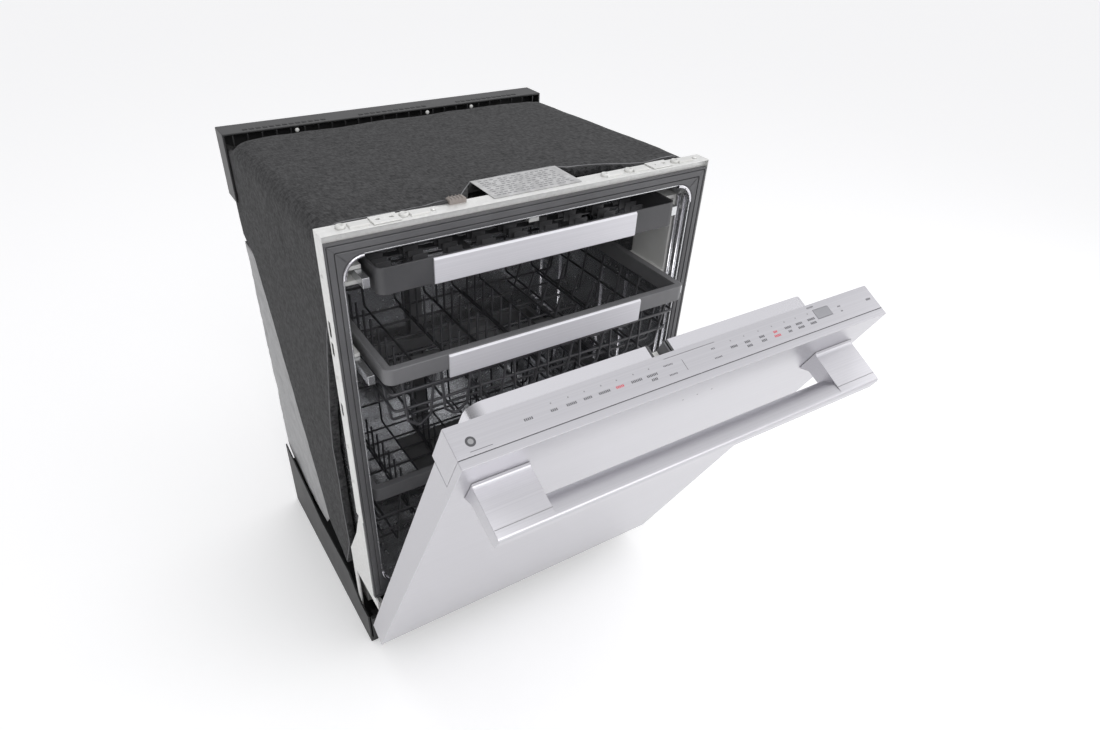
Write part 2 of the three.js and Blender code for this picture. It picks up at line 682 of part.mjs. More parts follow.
function hingeArm(side) {
  const root = LINER_FACE + GAP;
  const arm = outline([
    [root, HINGE_Z - 12], [HINGE_Y + 8, HINGE_Z - 12], [HINGE_Y + 12, HINGE_Z - 8],
    [HINGE_Y + 12, HINGE_Z + 6], [HINGE_Y + 6, HINGE_Z + 12], [HINGE_Y - RUN, HINGE_Z + 16],
    [HINGE_Y - RUN, HINGE_Z + 150], [root, HINGE_Z + 160],
  ]);
  const inner = HALF - 13;
  const hole = rod("x", -HALF, HALF, HINGE_Y, HINGE_Z, 4 + GAP, 12);
  return cut(sideSlab(side, arm, inner, inner + 4.5), hole);
}

// ---------------------------------------------------------------- racks
// The outline of a wire bent into a hoop: down from a, along the floor and up to b.
function hoop(a, aLow, bLow, b, top, low) {
  const w = WIRE / 2;
  return outline([
    [a - w, top], [aLow - w, low - w], [bLow + w, low - w], [b + w, top],
    [b - w, top], [bLow - w, low + w], [aLow + w, low + w], [a + w, top],
  ]);
}

// A level ring of wire welded to the outside of the hoops.
function levelRing(half, front, back, z) {
  const w = WIRE / 2;
  const out = RING_OUT;
  return join(
    box(-half - out, -half, front - out - 1, back + out + 1, z - w, z + w),
    box(half, half + out, front - out - 1, back + out + 1, z - w, z + w),
    box(-half - out + 1, half + out - 1, front - out, front, z - w, z + w),
    box(-half - out + 1, half + out - 1, back, back + out, z - w, z + w),
  );
}

// An open wire basket: hoops along Y and along X, and level rings round its walls.
function basket({ half, y0, y1, top, floor, lean, hoopsX, hoopsY, rings }) {
  const low = floor - WIRE / 2;
  const halfLow = half - lean.side;
  const frontLow = y0 + lean.front;
  const backLow = y1 - lean.back;
  const w = WIRE / 2;
  const wires = [];
  for (let i = 0; i < hoopsX; i++) {
    const x = ((2 * i + 1) / hoopsX - 1) * halfLow;
    wires.push(slabX(hoop(y0, frontLow, backLow, y1, top, low + WIRE / 4), x - w, x + w));
  }
  for (let i = 0; i < hoopsY; i++) {
    const y = frontLow + ((i + 0.5) / hoopsY) * (backLow - frontLow);
    wires.push(slabY(hoop(-half, -halfLow, halfLow, half, top, low - WIRE / 4), y - w, y + w));
  }
  for (const share of rings) {
    const z = low + share * (top - low);
    const front = frontLow - share * lean.front;
    const back = backLow + share * lean.back;
    wires.push(levelRing(halfLow + share * lean.side, front, back, z));
  }
  return join(wires);
}

// A moulded rim: a flat ring round the top of a basket.
function rim(half, y0, y1, top, height) {
  const inner = half - RIM_WALL;
  return cut(
    slabZ(roundedRect(-half, half, y0, y1, 14), top - height, top),
    box(-inner, inner, y0 + RIM_WALL, y1 - RIM_WALL, top - height - 1, top + 1),
  );
}

function trim(front, top) {
  const back = front + TRIM_THICK;
  const shape = outline([
    [front + 1, top - TRIM_HEIGHT], [back, top - TRIM_HEIGHT], [back, top - 0.5], [front + 2, top - 0.5],
    [front, top - 3], [front, top - TRIM_HEIGHT + 2],
  ]);
  return slabX(shape, -TRIM_HALF, TRIM_HALF);
}

// A row of upright tines on a rod that lies along Y.
function tines(x, y0, y1, z, count, height) {
  const w = WIRE / 2;
  const wires = [box(x - w, x + w, y0 - w, y1 + w, z - w, z + w)];
  for (let i = 0; i < count; i++) {
    const y = y0 + ((i + 0.5) / count) * (y1 - y0);
    wires.push(box(x - w, x + w, y - w, y + w, z, z + height + w));
  }
  return join(wires);
}

const UPPER_BACK = UPPER_FRONT + UPPER_DEPTH;
const LOWER_BACK = LOWER_FRONT + LOWER_DEPTH;
const LOWER_STEP = (LOWER_DEPTH - 62) / 5; // between its cross hoops
const WHEEL_Y = [LOWER_FRONT + 58.2 + LOWER_STEP / 2, LOWER_BACK - 28.2 - LOWER_STEP / 2];
const WHEEL_Z = TUB_FLOOR + GAP + WHEEL_RADIUS;
const WHEEL_X = TUB_HALF - TUB_CORNER - WHEEL_WIDTH - RUN; // inner face

function upperBasket() {
  return basket({
    half: UPPER_HALF - 8, y0: UPPER_FRONT + TRIM_THICK + 8, y1: UPPER_BACK - 8,
    top: UPPER_TOP - UPPER_RIM - WIRE / 2 - FIT, floor: UPPER_FLOOR,
    lean: { side: 11, front: 14, back: 10 }, hoopsX: 7, hoopsY: 5, rings: [0.72, 0.34],
  });
}

function lowerBasket() {
  const low = LOWER_FLOOR - WIRE / 2;
  const inner = WHEEL_X + WHEEL_WIDTH + GAP;
  const legs = [];
  for (const y of WHEEL_Y) {
    for (const side of [-1, 1]) {
      const axle = [side * (WHEEL_X - 1), side * (inner + 1)].sort((a, b) => a - b);
      legs.push(sideBox(side, inner, inner + 3.5, y - 18, y + 14, WHEEL_Z - 5, low - 1));
      legs.push(rod("x", ...axle, y, WHEEL_Z, AXLE_RADIUS, 8));
    }
  }
  return join(
    basket({
      half: LOWER_HALF - 8, y0: LOWER_FRONT + 8, y1: LOWER_BACK - 8,
      top: LOWER_TOP - LOWER_RIM - WIRE / 2 - FIT, floor: LOWER_FLOOR,
      lean: { side: 12, front: 36, back: 10 }, hoopsX: 7, hoopsY: 5, rings: [0.55],
    }),
    legs,
  );
}

function wheel(side, y) {
  const x = [side * WHEEL_X, side * (WHEEL_X + WHEEL_WIDTH)].sort((a, b) => a - b);
  return cut(
    rod("x", ...x, y, WHEEL_Z, WHEEL_RADIUS, 20),
    rod("x", x[0] - 1, x[1] + 1, y, WHEEL_Z, AXLE_RADIUS + FIT, 8),
  );
}

function cutleryTray() {
  const y0 = TRAY_FRONT + TRIM_THICK + GAP;
  const y1 = TRAY_FRONT + TRAY_DEPTH;
  const z0 = TRAY_TOP - TRIM_HEIGHT;
  const wall = 3;
  const inside = TRAY_HALF - wall;
  const slots = [];
  for (let row = 0; row < 4; row++) {
    for (let column = 0; column < 6; column++) {
      const x = -TRAY_HALF + 14 + column * 78;
      const y = y0 + 14 + row * 96;
      slots.push(box(x, x + 66, y, y + 82, z0 - 1, z0 + 4));
    }
  }
  return cut(
    slabZ(roundedRect(-TRAY_HALF, TRAY_HALF, y0, y1, 12), z0, TRAY_TOP),
    slabZ(roundedRect(-inside, inside, y0 + wall, y1 - wall, 9), z0 + wall, TRAY_TOP + 1),
    ...slots,
  );
}

// ---------------------------------------------------------------- assembly
place("tub", tub(), POLISHED);
place("front_flange", frontFlange(), GALVANISED);
place("door_gasket", doorGasket(), DARK_RUBBER);
place("insulation_blanket", insulationBlanket(), FELT);
place("rear_frame", rearFrame(), BLACK_PLASTIC);
place("rear_wrap", rearWrap(), FOIL);
place("base_frame", baseFrame(), BLACK_PLASTIC);
place("toe_plate", toePlate(), BLACK_PLASTIC);
for (const [where, x, y] of footPlaces()) {
  place("levelling_foot_" + where, levellingFoot(x, y), BLACK_PLASTIC);
}

place("sump", sump(), GREY_PLASTIC);
place("filter", filter(), NYLON);
place("wash_pump", pump(SUMP.half + 12 + GAP, SUMP.half + 128, FRONT + 262, 126, 40), BLACK_PLASTIC);
place("drain_pump", pump(-SUMP.half - 92, -SUMP.half - 12 - GAP, FRONT + 330, 140, 28), BLACK_PLASTIC);
place("drain_hose", drainHose(), BLACK_PLASTIC);
place("inlet_valve", inletValve(), PALE_PLASTIC);
place("junction_box", junctionBox(), GALVANISED);
place("feed_pipe", feedPipe(), GREY_PLASTIC);
place("top_spray_nozzle", topSprayNozzle(), GREY_PLASTIC);
place("latch_strike", latchStrike(), GALVANISED);
place("rating_plate", ratingPlate(), FOIL);

place("outer_panel", outerPanel(), STAINLESS, shutDoor);
place("control_panel", controlPanel(), STAINLESS, shutDoor);
place("display_window", displayWindow(), DARK_GLASS, shutDoor);
place("door_liner", doorLiner(), POLISHED, shutDoor);
place("handle", handle(), STAINLESS, shutDoor);
place("door_latch", doorLatch(), GREY_PLASTIC, shutDoor);
place("vent_grille", ventGrille(), GREY_PLASTIC, shutDoor);
place("dispenser", dispenser(), GREY_PLASTIC, shutDoor);
place("dispenser_lid", dispenserLid(), PALE_PLASTIC, shutDoor);
place("rinse_cap", rinseCap(), PALE_PLASTIC, shutDoor);

for (const [hand, side] of SIDES) {
  place("hinge_bracket_" + hand, hingeBracket(side), GALVANISED);
  place("worktop_bracket_" + hand, worktopBracket(side), GALVANISED);
  place("rail_guide_" + hand, railGuide(side), PALE_PLASTIC);
  place("hinge_arm_" + hand, hingeArm(side), GALVANISED, shutDoor);
  const upperInner = UPPER_HALF + 6;
  place("upper_rail_" + hand, rackRail(side, upperInner, FRONT - 20, UPPER_RAIL_Z), STAINLESS);
  place("tray_rail_" + hand, rackRail(side, TRAY_HALF + 5, FRONT + 4, TRAY_RAIL_Z), STAINLESS);
}

const upperRimFront = UPPER_FRONT + TRIM_THICK + GAP;
place("upper_rack_basket", upperBasket(), NYLON);
place("upper_rack_rim", rim(UPPER_HALF, upperRimFront, UPPER_BACK, UPPER_TOP, UPPER_RIM), GREY_PLASTIC);
place("upper_rack_trim", trim(UPPER_FRONT, UPPER_TOP), STAINLESS);
place("upper_rack_tines", tines(-96, UPPER_FRONT + 60, UPPER_BACK - 60, UPPER_FLOOR + 6, 9, 70), NYLON);
const upperArmY = (UPPER_FRONT + UPPER_BACK) / 2;
place("upper_spray_arm", sprayArm(upperArmY, 524, UPPER_ARM_REACH, UPPER_FLOOR - WIRE - 1), GREY_PLASTIC);
place("cutlery_tray", cutleryTray(), GREY_PLASTIC);
place("tray_trim", trim(TRAY_FRONT, TRAY_TOP), STAINLESS);
place("lower_rack_basket", lowerBasket(), NYLON);
place("lower_rack_rim", rim(LOWER_HALF, LOWER_FRONT, LOWER_BACK, LOWER_TOP, LOWER_RIM), GREY_PLASTIC);
place("lower_rack_tines", tines(80, LOWER_FRONT + 90, LOWER_BACK - 60, LOWER_FLOOR + 6, 9, 90), NYLON);
const lowerArm = sprayArm(ARM_CENTRE, TUB_FLOOR + 12, LOWER_ARM_REACH, TUB_FLOOR + 26);
place("lower_spray_arm", lowerArm, GREY_PLASTIC);
for (const [hand, side] of SIDES) {
  WHEEL_Y.forEach((y, i) => {
    place("rack_wheel_" + ["front_", "rear_"][i] + hand, wheel(side, y), GREY_PLASTIC);
  });
}

export default dishwasher;
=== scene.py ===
# %% [markdown]
# # A built-in dishwasher, dressed around its CAD frame
# The CAD model holds every size, joint and clearance. This script adds what the eye looks for:
# softened edges, round bent wires, needled felt, brushed and polished steel, seams, screws and
# printed marks. It starts by loading that model as a fixed frame, because each new piece takes
# its place from a CAD node and rides on a CAD body.

import json
import math
import random

import bmesh
import bpy
from mathutils import Matrix, Vector, noise


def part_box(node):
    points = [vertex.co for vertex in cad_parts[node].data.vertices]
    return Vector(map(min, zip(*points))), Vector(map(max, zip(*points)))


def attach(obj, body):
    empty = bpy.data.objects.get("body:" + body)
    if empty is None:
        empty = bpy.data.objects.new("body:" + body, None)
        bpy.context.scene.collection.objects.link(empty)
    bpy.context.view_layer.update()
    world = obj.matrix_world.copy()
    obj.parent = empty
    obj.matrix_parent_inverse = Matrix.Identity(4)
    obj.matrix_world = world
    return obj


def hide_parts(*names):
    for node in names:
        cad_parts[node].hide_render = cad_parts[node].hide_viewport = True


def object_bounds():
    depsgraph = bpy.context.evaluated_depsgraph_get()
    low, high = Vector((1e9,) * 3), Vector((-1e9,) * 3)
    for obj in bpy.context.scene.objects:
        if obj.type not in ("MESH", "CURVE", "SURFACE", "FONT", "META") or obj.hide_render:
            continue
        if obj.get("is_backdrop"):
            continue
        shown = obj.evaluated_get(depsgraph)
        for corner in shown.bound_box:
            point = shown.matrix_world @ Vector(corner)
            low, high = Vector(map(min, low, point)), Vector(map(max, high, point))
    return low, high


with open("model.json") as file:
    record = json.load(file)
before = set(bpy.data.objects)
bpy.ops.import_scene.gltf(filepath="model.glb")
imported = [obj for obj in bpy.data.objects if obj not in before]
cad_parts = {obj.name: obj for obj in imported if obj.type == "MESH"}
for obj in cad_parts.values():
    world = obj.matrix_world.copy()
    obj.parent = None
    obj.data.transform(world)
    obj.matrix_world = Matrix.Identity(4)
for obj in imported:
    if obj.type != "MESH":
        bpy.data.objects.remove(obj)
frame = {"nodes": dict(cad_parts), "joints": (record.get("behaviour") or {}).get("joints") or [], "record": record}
cad_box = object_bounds()
MM = 0.001
body_of_node = {
    node: body for body, nodes in frame["record"]["behaviour"]["bodies"].items() for node in nodes
}

# %% [markdown]
# ## Camera
# A wide lens close above the left front corner gives a steep perspective. The camera
# is set by the direction it looks from, its roll, its place and its lens. A small shift slides the
# frame so that the machine stands a little off the middle.

# %% Camera
AZIMUTH, ELEVATION, ROLL = (math.radians(angle) for angle in (-32.466, 37.880, 1.993))
CAMERA_PLACE = Vector((-524.65, -875.91, 1209.53)) * MM
LENS, SENSOR = 23.957, 36.0
SHIFT = 0.0266, 0.0489


def camera_turn(azimuth, elevation, roll):
    """The rotation of a camera that looks from that direction, with the columns right, up, back."""
    back = Vector((
        math.sin(azimuth) * math.cos(elevation),
        -math.cos(azimuth) * math.cos(elevation),
        math.sin(elevation),
    ))
    right = Vector((math.cos(azimuth), math.sin(azimuth), 0))
    up = back.cross(right)
    rolled_right = right * math.cos(roll) + up * math.sin(roll)
    rolled_up = back.cross(rolled_right)
    return Matrix((rolled_right, rolled_up, back)).transposed()


camera_data = bpy.data.cameras.new("camera")
camera_data.lens = LENS
camera_data.sensor_width = SENSOR
camera_data.shift_x, camera_data.shift_y = SHIFT
camera = bpy.data.objects.new("camera", camera_data)
turn = camera_turn(AZIMUTH, ELEVATION, ROLL)
camera.matrix_world = Matrix.Translation(CAMERA_PLACE) @ turn.to_4x4()
bpy.context.scene.collection.objects.link(camera)
bpy.context.scene.camera = camera
print("camera up", tuple(round(value, 3) for value in turn.col[1]))

# %% [markdown]
# ## Floor and light
# The machine stands in a light tent: pale floor, pale surroundings and a few broad soft lights.
# Steel shows only what it mirrors, so the surroundings are a little darker low down and towards
# one side, which gives each brushed face a gradient.


# %% Node and colour helpers
def linear(code):
    """A colour written as sRGB hex, such as "8F8F90", as linear RGBA."""
    values = [int(code[i:i + 2], 16) / 255 for i in (0, 2, 4)]
    return tuple(v / 12.92 if v <= 0.04045 else ((v + 0.055) / 1.055) ** 2.4 for v in values) + (1.0,)


def add_node(tree, kind, inputs=None, **settings):
    """Adds a node, sets its properties, and gives its inputs values or other nodes' outputs."""
    made = tree.nodes.new(kind)
    for key, value in settings.items():
        setattr(made, key, value)
    for key, value in (inputs or {}).items():
        if isinstance(value, bpy.types.NodeSocket):
            tree.links.new(value, made.inputs[key])
        else:
            made.inputs[key].default_value = value
    return made


# %% Surroundings
scene = bpy.context.scene
scene.view_settings.view_transform = "Standard"
world = bpy.data.worlds.new("light_tent")
world.use_nodes = True
scene.world = world
sky = world.node_tree
place = add_node(sky, "ShaderNodeTexCoord")
height = add_node(sky, "ShaderNodeSeparateXYZ", {"Vector": place.outputs["Generated"]})
fade = add_node(sky, "ShaderNodeMapRange", {
    "Value": height.outputs["Z"], "From Min": -0.2, "From Max": 0.9, "To Min": 0.75, "To Max": 1.0,
})
aside = add_node(sky, "ShaderNodeMapRange", {
    "Value": height.outputs["X"], "From Min": -0.9, "From Max": 0.2, "To Min": 0.4, "To Max": 1.0,
})
both = add_node(sky, "ShaderNodeMath", {
    0: fade.outputs["Result"], 1: aside.outputs["Result"],
}, operation="MULTIPLY")
sky.links.new(both.outputs["Value"], sky.nodes["Background"].inputs["Strength"])
sky.nodes["Background"].inputs["Color"].default_value = linear("F6F6F8")


def soft_light(name, place, target, size, watts):
    """A rectangular lamp at a place in metres that faces a target."""
    data = bpy.data.lights.new(name, "AREA")
    data.shape = "RECTANGLE"
    data.size, data.size_y = size
    data.energy = watts
    lamp = bpy.data.objects.new(name, data)
    lamp.location = place
    lamp.rotation_euler = (Vector(target) - Vector(place)).to_track_quat("-Z", "Y").to_euler()
    scene.collection.objects.link(lamp)


soft_light("key", (1.2, -2.4, 2.4), (0, -0.2, 0.5), (1.6, 1.2), 12)
soft_light("top", (-0.2, 0.9, 2.8), (0, 0, 0.6), (1.8, 1.2), 6)
soft_light("side", (2.4, -1.0, 1.4), (0, -0.2, 0.5), (1.0, 1.6), 6)
soft_light("mouth", (-0.5, -1.5, 1.75), (0, 0.1, 0.55), (0.9, 0.7), 9)

# %% Floor
floor_mesh = bpy.data.meshes.new("floor")
REACH = 60.0
corners = [(-REACH, -REACH, 0), (REACH, -REACH, 0), (REACH, REACH, 0), (-REACH, REACH, 0)]
floor_mesh.from_pydata(corners, [], [(0, 1, 2, 3)])
floor = bpy.data.objects.new("floor", floor_mesh)
floor.location.z = -0.0005
scene.collection.objects.link(floor)
floor_paint = bpy.data.materials.new("pale_floor")
floor_paint.use_nodes = True
paint = floor_paint.node_tree.nodes["Principled BSDF"]
paint.inputs["Base Color"].default_value = linear("FBFBFB")
paint.inputs["Roughness"].default_value = 0.9
paint.inputs["Emission Color"].default_value = linear("FFFFFF")
paint.inputs["Emission Strength"].default_value = 0.21
paint.inputs["Specular IOR Level"].default_value = 0.1
floor_mesh.materials.append(floor_paint)
floor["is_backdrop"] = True

# %% [markdown]
# ## Materials
# Each material starts from what the real one is. Patterns use Object coordinates, which are the
# machine's own metres, so a scale of 1000 is one cell per millimetre.


# %% Start of a material
def new_material(name, color, roughness, metallic=0.0):
    """A named material with a plain principled surface, and its tree, surface and coordinates."""
    material = bpy.data.materials.new(name)
    material.use_nodes = True
    tree = material.node_tree
    surface = tree.nodes["Principled BSDF"]
    surface.inputs["Base Color"].default_value = linear(color)
    surface.inputs["Roughness"].default_value = roughness
    surface.inputs["Metallic"].default_value = metallic
    coordinates = add_node(tree, "ShaderNodeTexCoord").outputs["Object"]
    return material, tree, surface, coordinates


def drive(tree, surface, colour=None, roughness=None, relief=None):
    """Lets patterns, which are sockets from 0 to 1, drive a surface.

    colour is (pattern, low hex, high hex, where the change starts, where it stops),
    roughness is (pattern, low, high), and relief is (pattern, millimetres, strength).
    """
    if colour:
        pattern, low, high, start, stop = colour
        ramp = add_node(tree, "ShaderNodeValToRGB", {"Fac": pattern})
        for element, position, code in zip(ramp.color_ramp.elements, (start, stop), (low, high)):
            element.position = position
            element.color = linear(code)
        tree.links.new(ramp.outputs["Color"], surface.inputs["Base Color"])
    if roughness:
        pattern, low, high = roughness
        span = add_node(tree, "ShaderNodeMapRange", {"Value": pattern, "To Min": low, "To Max": high})
        tree.links.new(span.outputs["Result"], surface.inputs["Roughness"])
    if relief:
        pattern, millimetres, strength = relief
        raised = add_node(tree, "ShaderNodeBump", {
            "Height": pattern, "Strength": strength, "Distance": millimetres * MM,
        })
        tree.links.new(raised.outputs["Normal"], surface.inputs["Normal"])


# %% [markdown]
# ### Brushed stainless steel
# The door, the handle and the rack trims are rolled sheet brushed along the machine's width. The
# strokes are about 0.2 mm wide. They are drawn 1 mm wide, so that they still show, and half a
# metre long.

# %% Brushed steel
def brushed_steel(name, low, high, rough):
    material, tree, surface, coordinates = new_material(name, high, rough, 1.0)
    stretch = add_node(tree, "ShaderNodeMapping", {
        "Vector": coordinates, "Scale": (0.9, 700.0, 700.0),
    })
    strokes = add_node(tree, "ShaderNodeTexNoise", {
        "Vector": stretch.outputs["Vector"], "Scale": 1.0, "Detail": 4.0, "Roughness": 0.6,
    }).outputs["Fac"]
    drive(tree, surface, (strokes, low, high, 0.3, 0.7), (strokes, rough - 0.05, rough + 0.07),
          (strokes, 0.01, 0.15))
    return material


DOOR_STEEL = brushed_steel("brushed_stainless_door", "C4C3C7", "CDCCD0", 0.36)
# a lower metallic value keeps the trims pale where what they mirror is dark
TRIM_STEEL = brushed_steel("brushed_stainless_trim", "DDDCE1", "E6E5EA", 0.45)
TRIM_STEEL.node_tree.nodes["Principled BSDF"].inputs["Metallic"].default_value = 0.3

# %% [markdown]
# ### Polished stainless steel
# The tub and the inner door are bright drawn sheet. They mirror the racks softly, and long
# shallow waves from the press bend those mirror images.

# %% Polished steel
TUB_STEEL, tree, surface, coordinates = new_material(
    "bright_drawn_stainless", "D6D7D9", 0.24, 0.85)
waves = add_node(tree, "ShaderNodeTexNoise", {"Vector": coordinates, "Scale": 9.0, "Detail": 2.0})
smears = add_node(tree, "ShaderNodeTexNoise", {"Vector": coordinates, "Scale": 60.0, "Detail": 5.0})
drive(tree, surface, None, (smears.outputs["Fac"], 0.16, 0.34), (waves.outputs["Fac"], 1.2, 0.5))

LINER_STEEL, tree, surface, coordinates = new_material("satin_drawn_stainless", "DDDCE0", 0.24, 1.0)
waves = add_node(tree, "ShaderNodeTexNoise", {"Vector": coordinates, "Scale": 7.0, "Detail": 2.0})
drive(tree, surface, None, (waves.outputs["Fac"], 0.18, 0.3), (waves.outputs["Fac"], 0.8, 0.4))

# %% [markdown]
# ### Galvanised steel
# The front flange and the brackets are zinc-coated sheet, pale and slightly mottled by zinc
# crystals a few millimetres across.

# %% Galvanised steel
ZINC, tree, surface, coordinates = new_material("galvanised_sheet", "E4E4E2", 0.42, 0.55)
crystals = add_node(tree, "ShaderNodeTexVoronoi", {"Vector": coordinates, "Scale": 220.0})
drive(tree, surface, (crystals.outputs["Color"], "E0E0DE", "E9E9E7", 0.1, 0.9),
      (crystals.outputs["Distance"], 0.36, 0.52))

# %% [markdown]
# ### Needled felt
# The sound blanket is charcoal fleece, needled into a coarse cloth-like face. Fibres in two
# directions make a mottled weave, drawn 2 mm wide so that it still shows, and a broad sheen
# lightens its edges.

# %% Felt
FELT, tree, surface, coordinates = new_material("needled_felt", "464648", 0.95)
surface.inputs["Sheen Weight"].default_value = 0.08
surface.inputs["Sheen Roughness"].default_value = 0.6
surface.inputs["Specular IOR Level"].default_value = 0.15
fibres = []
for scale in ((110.0, 460.0, 110.0), (460.0, 110.0, 460.0)):
    drawn = add_node(tree, "ShaderNodeMapping", {"Vector": coordinates, "Scale": scale})
    fibres.append(add_node(tree, "ShaderNodeTexNoise", {
        "Vector": drawn.outputs["Vector"], "Scale": 1.0, "Detail": 3.0,
    }))
mottle = add_node(tree, "ShaderNodeTexNoise", {"Vector": coordinates, "Scale": 150.0, "Detail": 4.0})
weft, warp = fibres
weave = add_node(tree, "ShaderNodeMath", {
    0: weft.outputs["Fac"], 1: warp.outputs["Fac"],
}, operation="ADD")
whole = add_node(tree, "ShaderNodeMath", {
    0: weave.outputs["Value"], 1: mottle.outputs["Fac"],
}, operation="ADD")
third = add_node(tree, "ShaderNodeMath", {0: whole.outputs["Value"], 1: 3.0}, operation="DIVIDE")
felt_pattern = third.outputs["Value"]
drive(tree, surface, (felt_pattern, "171718", "424243", 0.41, 0.59), None, (felt_pattern, 1.0, 0.8))


# %% [markdown]
# ### Moulded plastics, rubber and coated wire
# Injection-moulded parts have a spark-eroded grain of about half a millimetre and a slight drift
# in gloss. The racks' wires are steel dipped in nylon, which is smoother and a little glossy.

# %% Moulded plastics
def moulded(name, low, high, rough, grain=1500.0, depth=0.06):
    material, tree, surface, coordinates = new_material(name, high, rough)
    fine = add_node(tree, "ShaderNodeTexNoise", {"Vector": coordinates, "Scale": grain, "Detail": 2.0})
    broad = add_node(tree, "ShaderNodeTexNoise", {"Vector": coordinates, "Scale": 22.0, "Detail": 3.0})
    drive(tree, surface, (broad.outputs["Fac"], low, high, 0.3, 0.7),
          (broad.outputs["Fac"], rough - 0.05, rough + 0.08), (fine.outputs["Fac"], depth, 0.6))
    return material


BLACK_PP = moulded("black_polypropylene", "111112", "1A1A1B", 0.5)
SATIN_PP = moulded("satin_black_polypropylene", "1D1D1E", "272728", 0.42)
GREY_PP = moulded("grey_polypropylene", "6C6C6E", "767678", 0.42)
DARK_PP = moulded("dark_grey_polypropylene", "454547", "4E4E50", 0.45)
PALE_POM = moulded("pale_acetal", "D2D2CF", "DEDEDC", 0.38)
BEIGE_PA = moulded("beige_nylon", "8B837E", "978F8A", 0.5)
GASKET_EPDM = moulded("extruded_epdm", "565658", "606062", 0.5, 900.0, 0.05)
WIRE_PA = moulded("nylon_coated_wire", "3E3E41", "4A4A4D", 0.34, 700.0, 0.04)
CABLE_PVC = moulded("black_pvc", "18181A", "222224", 0.4)

# %% [markdown]
# ### Foil, glass and print
# The rear wrap and the rating plate are thin coated foil with soft creases. The display is a
# smoked window. The marks are screen print.

# %% Foil, glass and print
FOIL, tree, surface, coordinates = new_material("coated_foil", "939394", 0.4, 0.75)
creases = add_node(tree, "ShaderNodeTexNoise", {
    "Vector": coordinates, "Scale": 45.0, "Detail": 6.0, "Roughness": 0.7, "Distortion": 0.6,
}).outputs["Fac"]
drive(tree, surface, (creases, "7E7E7F", "A6A6A7", 0.3, 0.7), (creases, 0.3, 0.55), (creases, 2.0, 0.6))

LABEL, tree, surface, coordinates = new_material("label_foil", "BDBDBD", 0.45, 0.35)
blotch = add_node(tree, "ShaderNodeTexNoise", {"Vector": coordinates, "Scale": 90.0, "Detail": 4.0})
drive(tree, surface, (blotch.outputs["Fac"], "ABABAB", "C9C9C9", 0.3, 0.7))

SMOKED = moulded("smoked_acrylic", "8E8E92", "9C9CA0", 0.12, 300.0, 0.01)
# the dark grey ink prints the marks, and a strip of it is also painted shade in the gap under the control panel
PRINT_INK_AND_GAP_SHADE = moulded("dark_grey_ink_and_gap_shade", "48484B", "56565A", 0.6, 2500.0, 0.02)
RED_INK = moulded("red_ink", "C92B3F", "D83A4D", 0.6, 2500.0, 0.02)
PALE_INK = moulded("pale_grey_ink", "8C8C8E", "98989A", 0.6, 2500.0, 0.02)
PLATE_INK = moulded("plate_ink", "77777A", "848487", 0.6, 2500.0, 0.02)
SEAM_THREAD = moulded("grey_thread", "6E6E70", "88888A", 0.8, 1800.0, 0.2)
print(len(bpy.data.materials), "materials")

# %% [markdown]
# ## Pieces from CAD nodes
# The CAD solids have razor edges, which real sheet and moulded parts never have. A piece made
# here is a merged copy of its node with a small bevel, so that each edge catches the light.
# Weighted normals keep the flat faces flat.


# %% Finished pieces from meshes and nodes
def stand(name, mesh, material, body, replaces=()):
    """Links a mesh as a piece of the machine that rides on a body."""
    piece = bpy.data.objects.new(name, mesh)
    scene.collection.objects.link(piece)
    if not mesh.materials:
        mesh.materials.append(material)
    if replaces:
        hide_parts(*replaces)
    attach(piece, body)
    return piece


FLAT = 0.5  # degrees: faces that turn less are one face
SHARP = 32  # degrees: edges that turn more are rounded


def merged_copy(node):
    """The node's mesh with shared corners, and with the triangles of a flat face made one face."""
    cleaned = bmesh.new()
    cleaned.from_mesh(frame["nodes"][node].data)
    bmesh.ops.remove_doubles(cleaned, verts=cleaned.verts, dist=0.01 * MM)
    bmesh.ops.dissolve_limit(
        cleaned, angle_limit=math.radians(FLAT), verts=cleaned.verts, edges=cleaned.edges)
    return cleaned


def soften(node, material, radius):
    """A piece that stands for a CAD node, with its edges rounded by a radius in millimetres."""
    cleaned = merged_copy(node)
    mesh = bpy.data.meshes.new(node + "_finish")
    cleaned.to_mesh(mesh)
    cleaned.free()
    mesh.shade_smooth()
    piece = stand(node + "_finish", mesh, material, body_of_node[node], [node])
    edge = piece.modifiers.new("rounded edges", "BEVEL")
    edge.width = radius * MM
    edge.segments = 2
    edge.limit_method = "ANGLE"
    edge.angle_limit = math.radians(SHARP)
    edge.use_clamp_overlap = True
    flat = piece.modifiers.new("flat faces", "WEIGHTED_NORMAL")
    flat.keep_sharp = True


